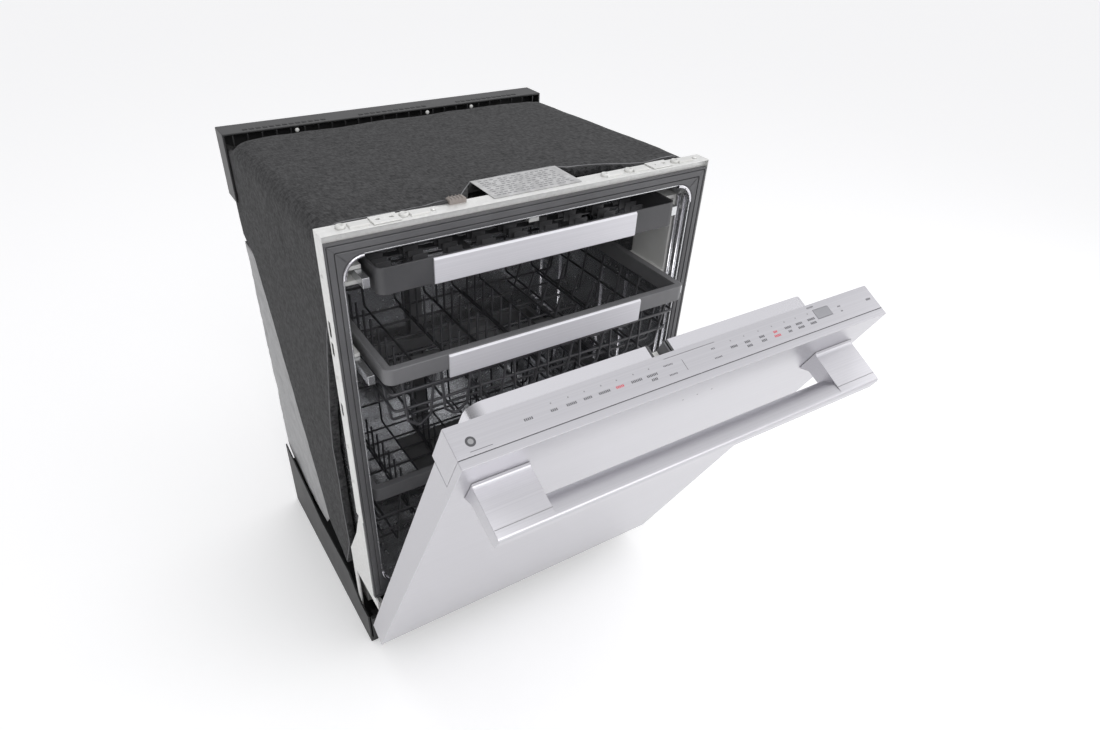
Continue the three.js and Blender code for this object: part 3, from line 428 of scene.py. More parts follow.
# %% Which node gets which finish
SOFTENED = [
    (DOOR_STEEL, 0.6, ["outer_panel", "control_panel"]),
    (DOOR_STEEL, 1.4, ["handle"]),
    (TRIM_STEEL, 0.5, ["upper_rack_trim", "tray_trim"]),
    (TUB_STEEL, 0.6, ["upper_rail_left", "upper_rail_right", "tray_rail_left", "tray_rail_right"]),
    (LINER_STEEL, 2.5, ["door_liner"]),
    (ZINC, 0.4, ["front_flange", "worktop_bracket_left", "worktop_bracket_right", "latch_strike"]),
    (ZINC, 0.5, ["hinge_bracket_left", "hinge_bracket_right", "hinge_arm_left", "hinge_arm_right"]),
    (ZINC, 0.8, ["junction_box"]),
    (SATIN_PP, 1.0, ["rear_frame"]),
    (BLACK_PP, 1.0, ["toe_plate", "drain_pump", "wash_pump"]),
    (BLACK_PP, 0.8, ["base_frame"]),
    (BLACK_PP, 0.6, [name for name in frame["nodes"] if name.startswith("levelling_foot")]),
    (GREY_PP, 2.6, ["upper_rack_rim", "lower_rack_rim"]),
    (GREY_PP, 0.6, ["dispenser", "vent_grille", "sump", "filter", "feed_pipe", "top_spray_nozzle"]),
    (GREY_PP, 1.5, ["upper_spray_arm", "lower_spray_arm"]),
    (GREY_PP, 0.8, [name for name in frame["nodes"] if name.startswith("rack_wheel")]),
    (DARK_PP, 0.8, ["door_latch"]),
    (DARK_PP, 1.0, ["cutlery_tray"]),
    (PALE_POM, 0.8, ["inlet_valve", "rail_guide_left", "rail_guide_right", "dispenser_lid",
                     "rinse_cap"]),
    (LABEL, 0.15, ["rating_plate"]),
    (SMOKED, 0.15, ["display_window"]),
]
for material, radius, nodes in SOFTENED:
    for node in nodes:
        soften(node, material, radius)
print(sum(len(nodes) for _, _, nodes in SOFTENED), "nodes softened")


# %% Nodes whose CAD shape stays
def dress(node, material):
    """Gives a CAD node that keeps its shape a finished material."""
    held = frame["nodes"][node].data.materials
    held.clear()
    held.append(material)


dress("tub", TUB_STEEL)
dress("drain_hose", BLACK_PP)

# %% [markdown]
# ## Mesh and path helpers
# Most of the pieces below are grids of points: a row of points, moved along a path, and joined
# to the next row. Lengths are in millimetres, as on a drawing, and become metres in one place.


# %% Meshes in millimetres
def mesh_of(name, points, faces):
    """A mesh from points in millimetres."""
    mesh = bpy.data.meshes.new(name)
    mesh.from_pydata([Vector(point) * MM for point in points], [], faces)
    mesh.update()
    return mesh


def outward(mesh):
    """Merges doubles and turns every face outwards."""
    whole = bmesh.new()
    whole.from_mesh(mesh)
    bmesh.ops.remove_doubles(whole, verts=whole.verts, dist=0.001 * MM)
    bmesh.ops.recalc_face_normals(whole, faces=whole.faces)
    whole.to_mesh(mesh)
    whole.free()
    return mesh


def grid(rows, close_rows=False, close_columns=False):
    """Points and faces of a grid, with its first and last row or column joined if asked."""
    width = len(rows[0])
    points = [point for row in rows for point in row]
    faces = []
    for i in range(len(rows) if close_rows else len(rows) - 1):
        for j in range(width if close_columns else width - 1):
            near, far = i * width, ((i + 1) % len(rows)) * width
            faces.append((near + j, near + (j + 1) % width, far + (j + 1) % width, far + j))
    return points, faces


def rounded_loop(x0, x1, z0, z1, radius, steps=8):
    """Points (x, z) round a rectangle, anticlockwise, with steps + 1 of them at each corner."""
    middles = [(x1 - radius, z0 + radius, -90), (x1 - radius, z1 - radius, 0),
               (x0 + radius, z1 - radius, 90), (x0 + radius, z0 + radius, 180)]
    loop = []
    for x, z, start in middles:
        for step in range(steps + 1):
            angle = math.radians(start + 90 * step / steps)
            loop.append((x + radius * math.cos(angle), z + radius * math.sin(angle)))
    return loop


def box_mm(node):
    """The lowest and highest corner of a node's box, in millimetres."""
    low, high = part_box(node)
    return low / MM, high / MM


# %% [markdown]
# ## Bent wire by Geometry Nodes
# A dish rack is steel wire, bent and spot-welded, then dipped in nylon. One node tree turns a
# drawing of straight lines into round wire: it fillets each corner, sweeps a circle along the
# line, closes the ends, and sets the material. Each rack's drawing is then only its corners.


# %% The wire tree
def wire_tree():
    """The node tree that turns lines into round wire."""
    tree = bpy.data.node_groups.new("bent_wire", "GeometryNodeTree")
    for name, kind, default in [
        ("Geometry", "NodeSocketGeometry", None), ("Radius", "NodeSocketFloat", 2 * MM),
        ("Bend", "NodeSocketFloat", 6 * MM), ("Sides", "NodeSocketInt", 8),
        ("Material", "NodeSocketMaterial", None),
    ]:
        socket = tree.interface.new_socket(name, in_out="INPUT", socket_type=kind)
        if default is not None:
            socket.default_value = default
    tree.interface.new_socket("Geometry", in_out="OUTPUT", socket_type="NodeSocketGeometry")
    given = add_node(tree, "NodeGroupInput")
    curves = add_node(tree, "GeometryNodeMeshToCurve", {"Mesh": given.outputs["Geometry"]})
    bent = add_node(tree, "GeometryNodeFilletCurve", {
        "Curve": curves.outputs["Curve"], "Count": 4, "Radius": given.outputs["Bend"],
        "Limit Radius": True,
    }, mode="POLY")
    circle = add_node(tree, "GeometryNodeCurvePrimitiveCircle", {
        "Resolution": given.outputs["Sides"], "Radius": given.outputs["Radius"],
    })
    swept = add_node(tree, "GeometryNodeCurveToMesh", {
        "Curve": bent.outputs["Curve"], "Profile Curve": circle.outputs["Curve"], "Fill Caps": True,
    })
    smooth = add_node(tree, "GeometryNodeSetShadeSmooth", {"Geometry": swept.outputs["Mesh"]})
    real = add_node(tree, "GeometryNodeRealizeInstances", {"Geometry": smooth.outputs["Geometry"]})
    dipped = add_node(tree, "GeometryNodeSetMaterial", {
        "Geometry": real.outputs["Geometry"], "Material": given.outputs["Material"],
    })
    finished = add_node(tree, "NodeGroupOutput")
    tree.links.new(dipped.outputs["Geometry"], finished.inputs["Geometry"])
    return tree


WIRE_TREE = wire_tree()


def run_tree(name, mesh, tree, values):
    """The plain mesh that a node tree makes of a mesh, with the tree's inputs set by name."""
    source = bpy.data.objects.new(name + "_drawing", mesh)
    scene.collection.objects.link(source)
    modifier = source.modifiers.new("nodes", "NODES")
    modifier.node_group = tree
    for socket in tree.interface.items_tree:
        if socket.in_out == "INPUT" and socket.name in values:
            modifier[socket.identifier] = values[socket.name]
    ready = source.evaluated_get(bpy.context.evaluated_depsgraph_get())
    made = bpy.data.meshes.new_from_object(ready)
    made.name = name
    bpy.data.objects.remove(source)
    return made


def wires(name, paths, material, body, radius, bend, sides=8, replaces=()):
    """One piece of round wires in millimetres. A path that ends where it starts is a ring."""
    points, edges = [], []
    for path in paths:
        ring = path[0] == path[-1]
        start = len(points)
        own = path[:-1] if ring else path
        points += [Vector(point) * MM for point in own]
        edges += [(start + i, start + i + 1) for i in range(len(own) - 1)]
        if ring:
            edges.append((start + len(own) - 1, start))
    drawing = bpy.data.meshes.new(name + "_drawing")
    drawing.from_pydata(points, edges, [])
    values = {"Radius": radius * MM, "Bend": bend * MM, "Sides": sides, "Material": material}
    made = run_tree(name, drawing, WIRE_TREE, values)
    return stand(name, made, material, body, replaces)


# %% [markdown]
# ## Racks
# Each basket hangs from a moulded rim. Its long hoops run from front to back, its cross hoops
# from side to side, and level rings tie the walls. At the front the wires come down in pairs that
# meet in a point under the floor, and rows of tines stand on the floor between the hoops.

# %% Basket drawings
WIRE_INSET = 3.6  # from the CAD node's box to the middle of the outermost wires
RACK_WIRE, RACK_BEND = 2.2, 6.0
TINE_WIRE = 1.9


def basket_paths(node, floor, lean, long_hoops, cross_hoops, levels, front_wall=True):
    """The wires of a basket that fills its CAD node's box. lean is how far its walls slope in."""
    low, high = box_mm(node)
    x0, x1 = low.x + WIRE_INSET, high.x - WIRE_INSET
    y0, y1 = low.y + WIRE_INSET, high.y - WIRE_INSET
    top = high.z
    side, front, back = lean
    paths = []
    for i in range(long_hoops):
        x = x0 + side + (i + 0.5) / long_hoops * (x1 - x0 - 2 * side)
        hoop = [(x, y0, top), (x, y0 + front, floor + 1), (x, y1 - back, floor + 1), (x, y1, top)]
        paths.append(hoop if front_wall else hoop[1:])
    for i in range(cross_hoops):
        y = y0 + front + (i + 0.5) / cross_hoops * (y1 - y0 - front - back)
        paths.append([
            (x0, y, top), (x0 + side, y, floor - 2), (x1 - side, y, floor - 2), (x1, y, top),
        ])
    for z in levels:
        share = (top - z) / (top - floor)
        xa, xb = x0 + share * side - 2, x1 - share * side + 2
        ya, yb = y0 + share * front - 2, y1 - share * back + 2
        paths.append([(xa, ya, z), (xb, ya, z), (xb, yb, z), (xa, yb, z), (xa, ya, z)])
    return paths, (x0, x1, y0, y1, top)


def points_under(x0, x1, y, top, tip, lean, count):
    """Pairs of wires that come down a front wall and meet in a point."""
    step = (x1 - x0) / count
    paths = []
    for i in range(count):
        middle = x0 + (i + 0.5) * step
        paths.append([
            (middle - step * 0.42, y, top), (middle - step * 0.3, y + lean * 0.7, tip + 16),
            (middle, y + lean, tip), (middle + step * 0.3, y + lean * 0.7, tip + 16),
            (middle + step * 0.42, y, top),
        ])
    return paths


def tine_rows(xs, y0, y1, z, height, count, lean=0.0):
    """Rows of upright tines, each row on a wire of its own."""
    paths = []
    for x in xs:
        for i in range(count):
            y = y0 + (i + 0.5) / count * (y1 - y0)
            paths.append([(x, y, z - 2), (x + lean, y, z + height)])
        paths.append([(x, y0, z), (x, y1, z)])
    return paths


# %% Upper rack
UPPER_FLOOR = 554.0
paths, (x0, x1, y0, y1, top) = basket_paths(
    "upper_rack_basket", UPPER_FLOOR, (11, 14, 10), 8, 7, (623.0, 590.0), False)
paths += points_under(x0 + 12, x1 - 12, y0 + 2, 640.0, 551.0, 8, 8)
paths += tine_rows((-190, -30, 32), y0 + 50, y1 - 50, UPPER_FLOOR + 3, 58, 9)
paths += tine_rows((128, 196), y0 + 50, y1 - 50, UPPER_FLOOR + 3, 46, 6, 14)
wires("upper_rack_wires", paths, WIRE_PA, "upper_rack", RACK_WIRE, RACK_BEND, 8,
      ["upper_rack_basket"])


def tine_node(node):
    """The folding row of tines that a CAD node holds."""
    low, high = box_mm(node)
    x, z = (low.x + high.x) / 2, low.z + 2
    count = 9
    row = [[(x, low.y + 2, z), (x, high.y - 2, z)]]
    for i in range(count):
        y = low.y + 2 + (i + 0.5) / count * (high.y - low.y - 4)
        row.append([(x, y, z), (x, y, high.z - 1)])
    wires(node + "_wire", row, WIRE_PA, body_of_node[node], TINE_WIRE, RACK_BEND, 8, [node])


tine_node("upper_rack_tines")

# %% Lower rack
LOWER_FLOOR = 220.0
paths, (x0, x1, y0, y1, top) = basket_paths(
    "lower_rack_basket", LOWER_FLOOR, (12, 36, 10), 9, 8, (314.0, 268.0))
paths += tine_rows((-170, -60, 198), y0 + 80, y1 - 50, LOWER_FLOOR + 3, 80, 9)
for wheel in ("front_left", "front_right", "rear_left", "rear_right"):
    low, high = box_mm("rack_wheel_" + wheel)
    middle = (low + high) / 2
    hand = -1 if middle.x < 0 else 1
    foot = middle.x + hand * 6.5
    paths.append([
        (foot, middle.y - 13, LOWER_FLOOR), (foot, middle.y, middle.z),
        (foot, middle.y + 13, LOWER_FLOOR),
    ])
    paths.append([(middle.x - hand * 5, middle.y, middle.z), (foot, middle.y, middle.z)])
wires("lower_rack_wires", paths, WIRE_PA, "lower_rack", RACK_WIRE, RACK_BEND, 8,
      ["lower_rack_basket"])
tine_node("lower_rack_tines")
print("racks drawn")

# %% [markdown]
# ## Cutlery tray floor
# The tray holds each piece of cutlery in a comb of small ribs. Each comb is one rib, repeated
# by a node tree that puts a part on every point of a drawing.


# %% A tree that puts a part on points
def scatter_tree():
    """The node tree that puts an object on every point of a mesh."""
    tree = bpy.data.node_groups.new("part_on_points", "GeometryNodeTree")
    for name, kind in [
        ("Geometry", "NodeSocketGeometry"), ("Part", "NodeSocketObject"),
        ("Turn", "NodeSocketRotation"), ("Material", "NodeSocketMaterial"),
    ]:
        tree.interface.new_socket(name, in_out="INPUT", socket_type=kind)
    tree.interface.new_socket("Geometry", in_out="OUTPUT", socket_type="NodeSocketGeometry")
    given = add_node(tree, "NodeGroupInput")
    part = add_node(tree, "GeometryNodeObjectInfo", {
        "Object": given.outputs["Part"], "As Instance": True,
    })
    placed = add_node(tree, "GeometryNodeInstanceOnPoints", {
        "Points": given.outputs["Geometry"], "Instance": part.outputs["Geometry"],
        "Rotation": given.outputs["Turn"],
    })
    real = add_node(tree, "GeometryNodeRealizeInstances", {"Geometry": placed.outputs["Instances"]})
    coated = add_node(tree, "GeometryNodeSetMaterial", {
        "Geometry": real.outputs["Geometry"], "Material": given.outputs["Material"],
    })
    finished = add_node(tree, "NodeGroupOutput")
    tree.links.new(coated.outputs["Geometry"], finished.inputs["Geometry"])
    return tree


SCATTER_TREE = scatter_tree()


def scatter(name, part_mesh, places, material, body, turn=(0.0, 0.0, 0.0)):
    """One piece that is a small part repeated at places in millimetres, turned by Euler angles."""
    part = bpy.data.objects.new(name + "_part", part_mesh)
    scene.collection.objects.link(part)
    drawing = bpy.data.meshes.new(name + "_places")
    drawing.from_pydata([Vector(place) * MM for place in places], [], [])
    made = run_tree(name, drawing, SCATTER_TREE, {"Part": part, "Turn": turn, "Material": material})
    bpy.data.objects.remove(part)
    return stand(name, made, material, body, ())


def block_part(name, width, depth, height, edge=0.3):
    """A small block with chamfered top edges, standing on its own origin."""
    w, d, e = width / 2, depth / 2, edge
    levels = [(0, 0, 0), (0, 0, height - e), (e, e, height)]
    rows = []
    for inset_x, inset_y, z in levels:
        rows.append([(-w + inset_x, -d + inset_y, z), (w - inset_x, -d + inset_y, z),
                     (w - inset_x, d - inset_y, z), (-w + inset_x, d - inset_y, z)])
    points, faces = grid(rows, close_columns=True)
    faces += [(3, 2, 1, 0), (8, 9, 10, 11)]
    return outward(mesh_of(name, points, faces))


def round_part(name, profile, sides=12):
    """A turned part from its profile of (radius, height) points, closed at both ends."""
    rows = []
    for radius, height in profile:
        rows.append([
            (radius * math.cos(math.tau * i / sides), radius * math.sin(math.tau * i / sides), height)
            for i in range(sides)
        ])
    points, faces = grid(rows, close_columns=True)
    last = (len(profile) - 1) * sides
    faces += [tuple(reversed(range(sides))), tuple(range(last, last + sides))]
    mesh = outward(mesh_of(name, points, faces))
    mesh.shade_smooth()
    return mesh


# %% Combs in the tray
low, high = box_mm("cutlery_tray")
LANES, TEETH = 9, 24
comb_places = []
for lane in range(LANES):
    x = low.x + 30 + lane * (high.x - low.x - 60) / (LANES - 1)
    for tooth in range(TEETH):
        y = low.y + 24 + tooth * (high.y - low.y - 48) / (TEETH - 1)
        comb_places.append((x, y, low.z + 3))
comb = block_part("comb", 22, 1.8, 15, 0.6)
scatter("tray_combs", comb, comb_places, DARK_PP, "tray")
rib_places = []
for i in range(LANES):
    x = low.x + 18 + i * (high.x - low.x - 36) / (LANES - 1)
    rib_places.append((x, (low.y + high.y) / 2, low.z + 3))
rib = block_part("rib", 1.6, high.y - low.y - 16, 7, 0.5)
scatter("tray_ribs", rib, rib_places, DARK_PP, "tray")
print(len(comb_places), "combs and", len(rib_places), "ribs")

# %% [markdown]
# ## Door gasket frame
# The dark frame round the mouth is an extrusion with two grooves, cut at 45 degrees and welded at
# the corners. It is a loft between its outer rectangle and the rounded mouth: at each point of
# the loop the same profile of ridges and grooves runs from outside to inside.

# %% Gasket
low, high = box_mm("door_gasket")
BAND = 19.0
PROFILE = [  # share of the way in, depth behind the front face, corner radius
    (0.0, 5.8, 1.5), (0.0, 0.8, 1.5), (0.03, 0.0, 1.5), (0.12, 0.0, 1.5), (0.13, 2.6, 1.5),
    (0.19, 2.6, 1.5), (0.2, 0.5, 1.5), (0.23, 0.1, 1.5), (0.58, 0.0, 2), (0.6, 0.4, 2),
    (0.61, 2.8, 2), (0.67, 2.8, 2), (0.68, 0.6, 2), (0.71, 0.3, 2.5), (0.8, 0.5, 5),
    (0.96, 1.2, 28), (1.0, 2.4, 30), (1.0, 5.8, 30),
]
rows = []
for share, depth, radius in PROFILE:
    inset = share * BAND
    loop = rounded_loop(
        low.x + inset, high.x - inset, low.z + inset * 1.1, high.z - inset * 1.08, radius)
    rows.append([(x, low.y + depth, z) for x, z in loop])
points, faces = grid(rows, close_rows=True, close_columns=True)
mesh = outward(mesh_of("gasket_frame", points, faces))
stand("gasket_frame", mesh, GASKET_EPDM, "cabinet", ["door_gasket"])
mitres = []
for sx, sz in ((-1, 1), (1, 1), (-1, -1), (1, -1)):
    zo, zi = (high.z, high.z - BAND - 8) if sz > 0 else (low.z, low.z + BAND + 8)
    xo, xi = sx * high.x, sx * (high.x - BAND - 8)
    mitres.append([(xo - sx * 1.5, low.y + 0.15, zo - sz * 1.5), (xi, low.y + 0.3, zi)])
wires("gasket_welds", mitres, DARK_PP, "cabinet", 0.35, 1.0, 6)

# %% [markdown]
# ## Tub mouth and side pressings
# Behind the gasket the tub's sheet is rolled into a bright lip, and its side walls are pressed
# with ribs that stiffen them and carry the rack guides. They are swept beads that stand a little
# way into the tub.

# %% Lip and ribs
def mouth_ring(inset, y):
    """A closed path round the mouth, so far inside the gasket and at this depth."""
    x1 = high.x - BAND - inset
    loop = rounded_loop(-x1, x1, low.z + BAND + 2 + inset, high.z - BAND - 1.5 - inset, 28)
    return [(x, y, z) for x, z in loop] + [(loop[0][0], y, loop[0][1])]


lip = [mouth_ring(1.2, low.y + 4.2)]
wires("tub_lip", lip, TUB_STEEL, "cabinet", 1.2, 0.5, 10)
ring = mouth_ring(2.6, low.y + 2.6)
corners = [ring[start:start + 9] for start in (0, 9, 18, 27)]  # nine points at each corner
wires("tub_lip_corners", corners, LINER_STEEL, "cabinet", 2.6, 0.5, 12)
tub_low, tub_high = box_mm("tub")
wall = tub_high.x - 2.4
ribs = []
for sx in (-1, 1):
    for y, rib_top in ((14.0, 794.4), (27.0, 789.2)):
        ribs.append([(sx * wall, low.y + y, z) for z in (tub_low.z + 50, 560, 620, rib_top)])
    for y in (120.0, 190.0, 330.0, 400.0):
        ribs.append([(sx * wall, tub_low.y + y, z) for z in (tub_low.z + 60, 400, 610)])
    ribs.append([(sx * wall, y, 420) for y in (tub_low.y + 40, tub_high.y - 30)])
wires("tub_pressings", ribs, LINER_STEEL, "cabinet", 2.4, 3.0, 10)

# %% [markdown]
# ## Sound blanket
# The felt is one blanket folded over the tub: left side, rounded shoulder, top, shoulder, right
# side. Its front edge is cut back round the rating plate and curves back down the sides, and the
# rear lower corner is tucked behind the foil. The sheet is a grid, its shape follows the tub, and
# smooth noise gives it the slack of real fleece. A thickness of 11 mm fills the CAD solid.

# %% Felt sheet
felt_low, felt_high = box_mm("insulation_blanket")
FELT_HALF = felt_high.x
FELT_TOP = felt_high.z
SHOULDER = 24.0
SIDE_FRONT = [
    (125, 80), (215, 38), (275, 39), (439, 39), (527, 20), (593, -3), (694, -37), (715, -50),
    (845, -50),
]
SIDE_BACK = [(125, 88), (168, 162), (300, 218), (500, 304), (641, 364), (660, 420), (845, 424)]


def thicken(piece, millimetres):
    """Gives a sheet its thickness, on the inner side of its faces."""
    thick = piece.modifiers.new("thickness", "SOLIDIFY")
    thick.thickness = millimetres * MM
    thick.offset = -1


def along_table(table, value):
    """Reads a table of (where, what) pairs, with straight lines between them."""
    if value <= table[0][0]:
        return table[0][1]
    for (a, va), (b, vb) in zip(table, table[1:]):
        if value <= b:
            return va + (vb - va) * (value - a) / (b - a)
    return table[-1][1]


TOP_FRONT = [
    (-298, -50), (-150, -48), (-128, -44), (-96, -42), (-72, -14), (-66, 3), (78, 4), (92, -10),
    (120, -14), (150, -22), (185, -40), (215, -46), (260, -40), (298, -50),
]


def section_point(share):
    """A point (x, z) of the fold, from the left side's lower tip over the top to the right one."""
    side = FELT_TOP - SHOULDER - felt_low.z
    arc = SHOULDER * math.pi / 2
    flat = 2 * (FELT_HALF - SHOULDER)
    length = 2 * side + 2 * arc + flat
    s = share * length
    if s > length / 2:
        x, z = section_point(1 - share)
        return -x, z
    if s < side:
        return -FELT_HALF, felt_low.z + s
    if s < side + arc:
        angle = (s - side) / SHOULDER
        x = -FELT_HALF + SHOULDER * (1 - math.cos(angle))
        return x, FELT_TOP - SHOULDER + SHOULDER * math.sin(angle)
    return -FELT_HALF + SHOULDER + (s - side - arc), FELT_TOP


def ramp_up(value, start, length):
    """0 up to the start, 1 after the length, and a straight line between."""
    return max(0.0, min(1.0, (value - start) / length))


ACROSS, ALONG = 210, 64
SAG, TUCK = 16.0, 22.0  # how far the top falls towards the rear, and how far its rear hem turns down
rows = []
for i in range(ACROSS + 1):
    x, z = section_point(i / ACROSS)
    rise = ramp_up(z, FELT_TOP - SHOULDER, SHOULDER) ** 2  # 0 on the side, 1 on the top
    front = rise * along_table(TOP_FRONT, x) + (1 - rise) * along_table(SIDE_FRONT, z)
    back = along_table(SIDE_BACK, z)
    outer = -1 if x < 0 else 1
    rear_wave = 9 * noise.noise(Vector((x / 70.0, 5.0, 0.0))) + 0.002 * max(0.0, abs(x) - 190) ** 2
    row = []
    for j in range(ALONG + 1):
        y = front + (back - front) * j / ALONG
        drop = SAG * ramp_up(y, 20, 370) * max(0.0, (z - 600) / (FELT_TOP - 600))
        drop += TUCK * ramp_up(y - 378 + rear_wave, 0, 26) ** 2 * rise
        spot = Vector((x, y, z)) / 90.0
        slack = abs(1.6 * noise.noise(spot) + 0.7 * noise.noise(spot * 3.1))
        hem = 1.8 * noise.noise(Vector((x / 24.0, z / 24.0, 3.0))) * (1 - j / ALONG) ** 3
        inward = (slack * 0.8 + 0.4) * (1.2 - rise)
        row.append((x - outer * inward, y + hem, z - drop - (slack + 0.3) * rise))
    rows.append(row)
points, faces = grid(rows)
mesh = mesh_of("felt_blanket", points, faces)
mesh.flip_normals()
mesh.shade_smooth()
blanket = stand("felt_blanket", mesh, FELT, "cabinet", ["insulation_blanket"])
thicken(blanket, 11)

# %% Hem
hem_path = []
for i in range(1, ACROSS, 2):
    x, y, z = rows[i][1]
    hem_path.append((x * 1.0005, y + 2.0, z + (0.4 if z > FELT_TOP - SHOULDER else 0.0)))
wires("felt_hem", [hem_path], SEAM_THREAD, "cabinet", 0.8, 0.5, 6)
print("blanket", len(points), "points")

# %% [markdown]
# ## Foil wrap
# A coated foil sheet closes the back and the lower rear sides. Foil never lies flat, so the sheet
# is a fine grid, creased by noise along its face, with a thickness of half a millimetre.


# %% Foil sheet
def crumple(x, y, z, normal, depth):
    """The point pushed in from a flat face by noise."""
    spot = Vector((x, y, z)) / 34.0
    push = depth * (noise.noise(spot) + 0.5 * noise.noise(spot * 2.7) - 0.2)
    return tuple(Vector((x, y, z)) - Vector(normal) * abs(push))


FRONT_EDGE = [(130, 197), (168, 166), (400, 265), (641, 367)]
REAR_EDGE = [(130, 372), (141, 382), (168, 428.6), (641, 428.6)]
FOIL_LOW, FOIL_TOP = 131, 640
SIDE_ROWS, SIDE_COLUMNS, BACK_COLUMNS = 60, 26, 60
half = box_mm("rear_wrap")[1].x
rows = []
for i in range(SIDE_ROWS + 1):
    z = FOIL_LOW + (FOIL_TOP - FOIL_LOW) * i / SIDE_ROWS
    y_front, y_rear = along_table(FRONT_EDGE, z), along_table(REAR_EDGE, z)
    row = []
    for j in range(SIDE_COLUMNS + 1):
        y = y_front + (y_rear - y_front) * j / SIDE_COLUMNS
        row.append(crumple(-half, y, z, (-1, 0, 0), 2.0))
    for j in range(1, BACK_COLUMNS):
        x = -half + 2 * half * j / BACK_COLUMNS
        row.append(crumple(x, y_rear, z, (0, 1, 0), 1.6))
    for j in range(SIDE_COLUMNS + 1):
        y = y_rear + (y_front - y_rear) * j / SIDE_COLUMNS
        row.append(crumple(half, y, z, (1, 0, 0), 2.0))
    rows.append(row)
points, faces = grid(rows)
mesh = mesh_of("foil_wrap", points, faces)
mesh.flip_normals()
mesh.shade_smooth()
wrap = stand("foil_wrap", mesh, FOIL, "cabinet", ["rear_wrap"])
thicken(wrap, 0.5)

# %% [markdown]
# ## Rear frame details
# The black frame behind the blanket keeps the wall away from it. Its front face is moulded in
# shallow cells with raised ribs, and three pale screws hold it.

# %% Ribs and screws of the rear frame
low, high = box_mm("rear_frame")
SCREW = round_part("screw", [(3.6, 0), (3.6, 0.8), (2.9, 1.7), (1.2, 2.1)])
grate_places = []
for start, count in ((-262, 13), (-62, 12), (128, 12)):
    grate_places += [(start + i * 11.0, low.y + 13, high.z - 0.1) for i in range(count)]
grate_bar = block_part("grate_bar", 7.5, 6, 0.7, 0.25)
scatter("frame_grates", grate_bar, grate_places, BLACK_PP, "cabinet")
cell_places = [(low.x + 16 + i * 23.7, low.y - 1.2, high.z - 26) for i in range(25)]
cell = block_part("cell", 2.0, 2.6, 23, 0.4)
scatter("frame_cells", cell, cell_places, SATIN_PP, "cabinet")
screw_places = [(x, low.y + 1.0, high.z - 8) for x in (-180, 60, 150)]
scatter("frame_screws", SCREW, screw_places, PALE_POM, "cabinet", (math.pi / 2, 0.0, 0.0))
print(len(grate_places), "bars and", len(cell_places), "cells")

# %% [markdown]
# ## Front flange fittings
# Along the flange's top lie moulded tabs, screw bosses and the wire connector, and screws hold
# the flange to the tub. They are small, but they are what makes the join look real.

# %% Tabs, bosses and screws
low, high = box_mm("front_flange")
TAB = block_part("tab", 26, 13, 2.6, 0.8)
BOSS = round_part("boss", [(6.5, 0), (6.2, 2.6), (5.2, 3.8), (3.4, 4.0), (3.2, 2.8)], 16)
TOP_FITTINGS = [  # name, part, places along the flange, distance from its front, material, slot
    ("flange_tabs", TAB, (-250, -170, 130, 178, 262), 13, PALE_POM, "pale_plastic"),
    ("flange_bosses", BOSS, (-272, -190, 118, 160, 246), 15, PALE_POM, "pale_plastic"),
    ("flange_screws", SCREW, (-231, -150, 205, 285), 15, ZINC, "galvanised"),
]
for name, part, xs, inset, material, slot in TOP_FITTINGS:
    lift = 0.2 if part is SCREW else 0.0
    places = [(x, low.y + inset, high.z + lift) for x in xs]
    scatter(name, part, places, material, "cabinet")
for name, x, hand in (("left", low.x + 0.2, -1), ("right", high.x - 0.2, 1)):
    places = [(x, low.y + 18, z) for z in (790, 640, 520, 450)]
    lying = (0.0, hand * math.pi / 2, 0.0)
    scatter("side_screws_" + name, SCREW, places, ZINC, "cabinet", lying)
print(sum(len(xs) for _, _, xs, *_ in TOP_FITTINGS), "fittings on the flange's top")

# %% Connector and its lead
CONNECTOR = (-113.0, -56.0, 847.5)
x, y, z = CONNECTOR
connector = block_part("connector", 24, 12, 8, 1.2)
scatter("connector_body", connector, [CONNECTOR], BEIGE_PA, "cabinet")
ridge_places = [(x + d, y, z) for d in (-8, -3, 2, 7)]
ridge = block_part("ridge", 1.4, 12.4, 9, 0.4)
scatter("connector_ridges", ridge, ridge_places, BEIGE_PA, "cabinet")
lead = [
    (x - 11, y, z + 4), (x - 30, y + 2, z + 1), (x - 80, y + 4, z), (x - 140, y + 3, z),
    (x - 158, y + 9, z - 3),
]
second = [(px, py + 3.2, pz) for px, py, pz in lead]
wires("connector_lead", [lead, second], CABLE_PVC, "cabinet", 1.4, 9.0)

# %% Printed rows on the rating plate
low, high = box_mm("rating_plate")
PRINT_EDGE = 0.02
random.seed(7)
print_places = []
for line in range(9):
    x = low.x + 8
    while x < high.x - 14:
        print_places.append((x + 3, low.y + 8 + line * 6.6, high.z))
        x += random.choice((7.5, 9.0, 13.0))
scatter("plate_print", block_part("dash", 5.4, 1.9, 0.12, PRINT_EDGE), print_places, PLATE_INK,
        "cabinet")
print(len(print_places), "dashes on the plate")

# %% [markdown]
# ## Door details
# The door leans open, so its details are drawn as if it were shut and then turned about the
# hinge by the modelled angle. The control marks are generic dashes, short rows of them where the
# labels go, with a small light over each.


# %% Shut-door coordinates
hinge = next(joint for joint in frame["joints"] if joint["name"] == "door_hinge")
OPEN = -math.radians(hinge["range_deg"][0])
HINGE = Vector(hinge["pos_m"])


def about_hinge(angle):
    """A turn about the hinge's axis."""
    return Matrix.Translation(HINGE) @ Matrix.Rotation(angle, 4, "X") @ Matrix.Translation(-HINGE)


def turn_open(mesh):
    """Turns a mesh drawn on the shut door to where the door stands."""
    mesh.transform(about_hinge(OPEN))


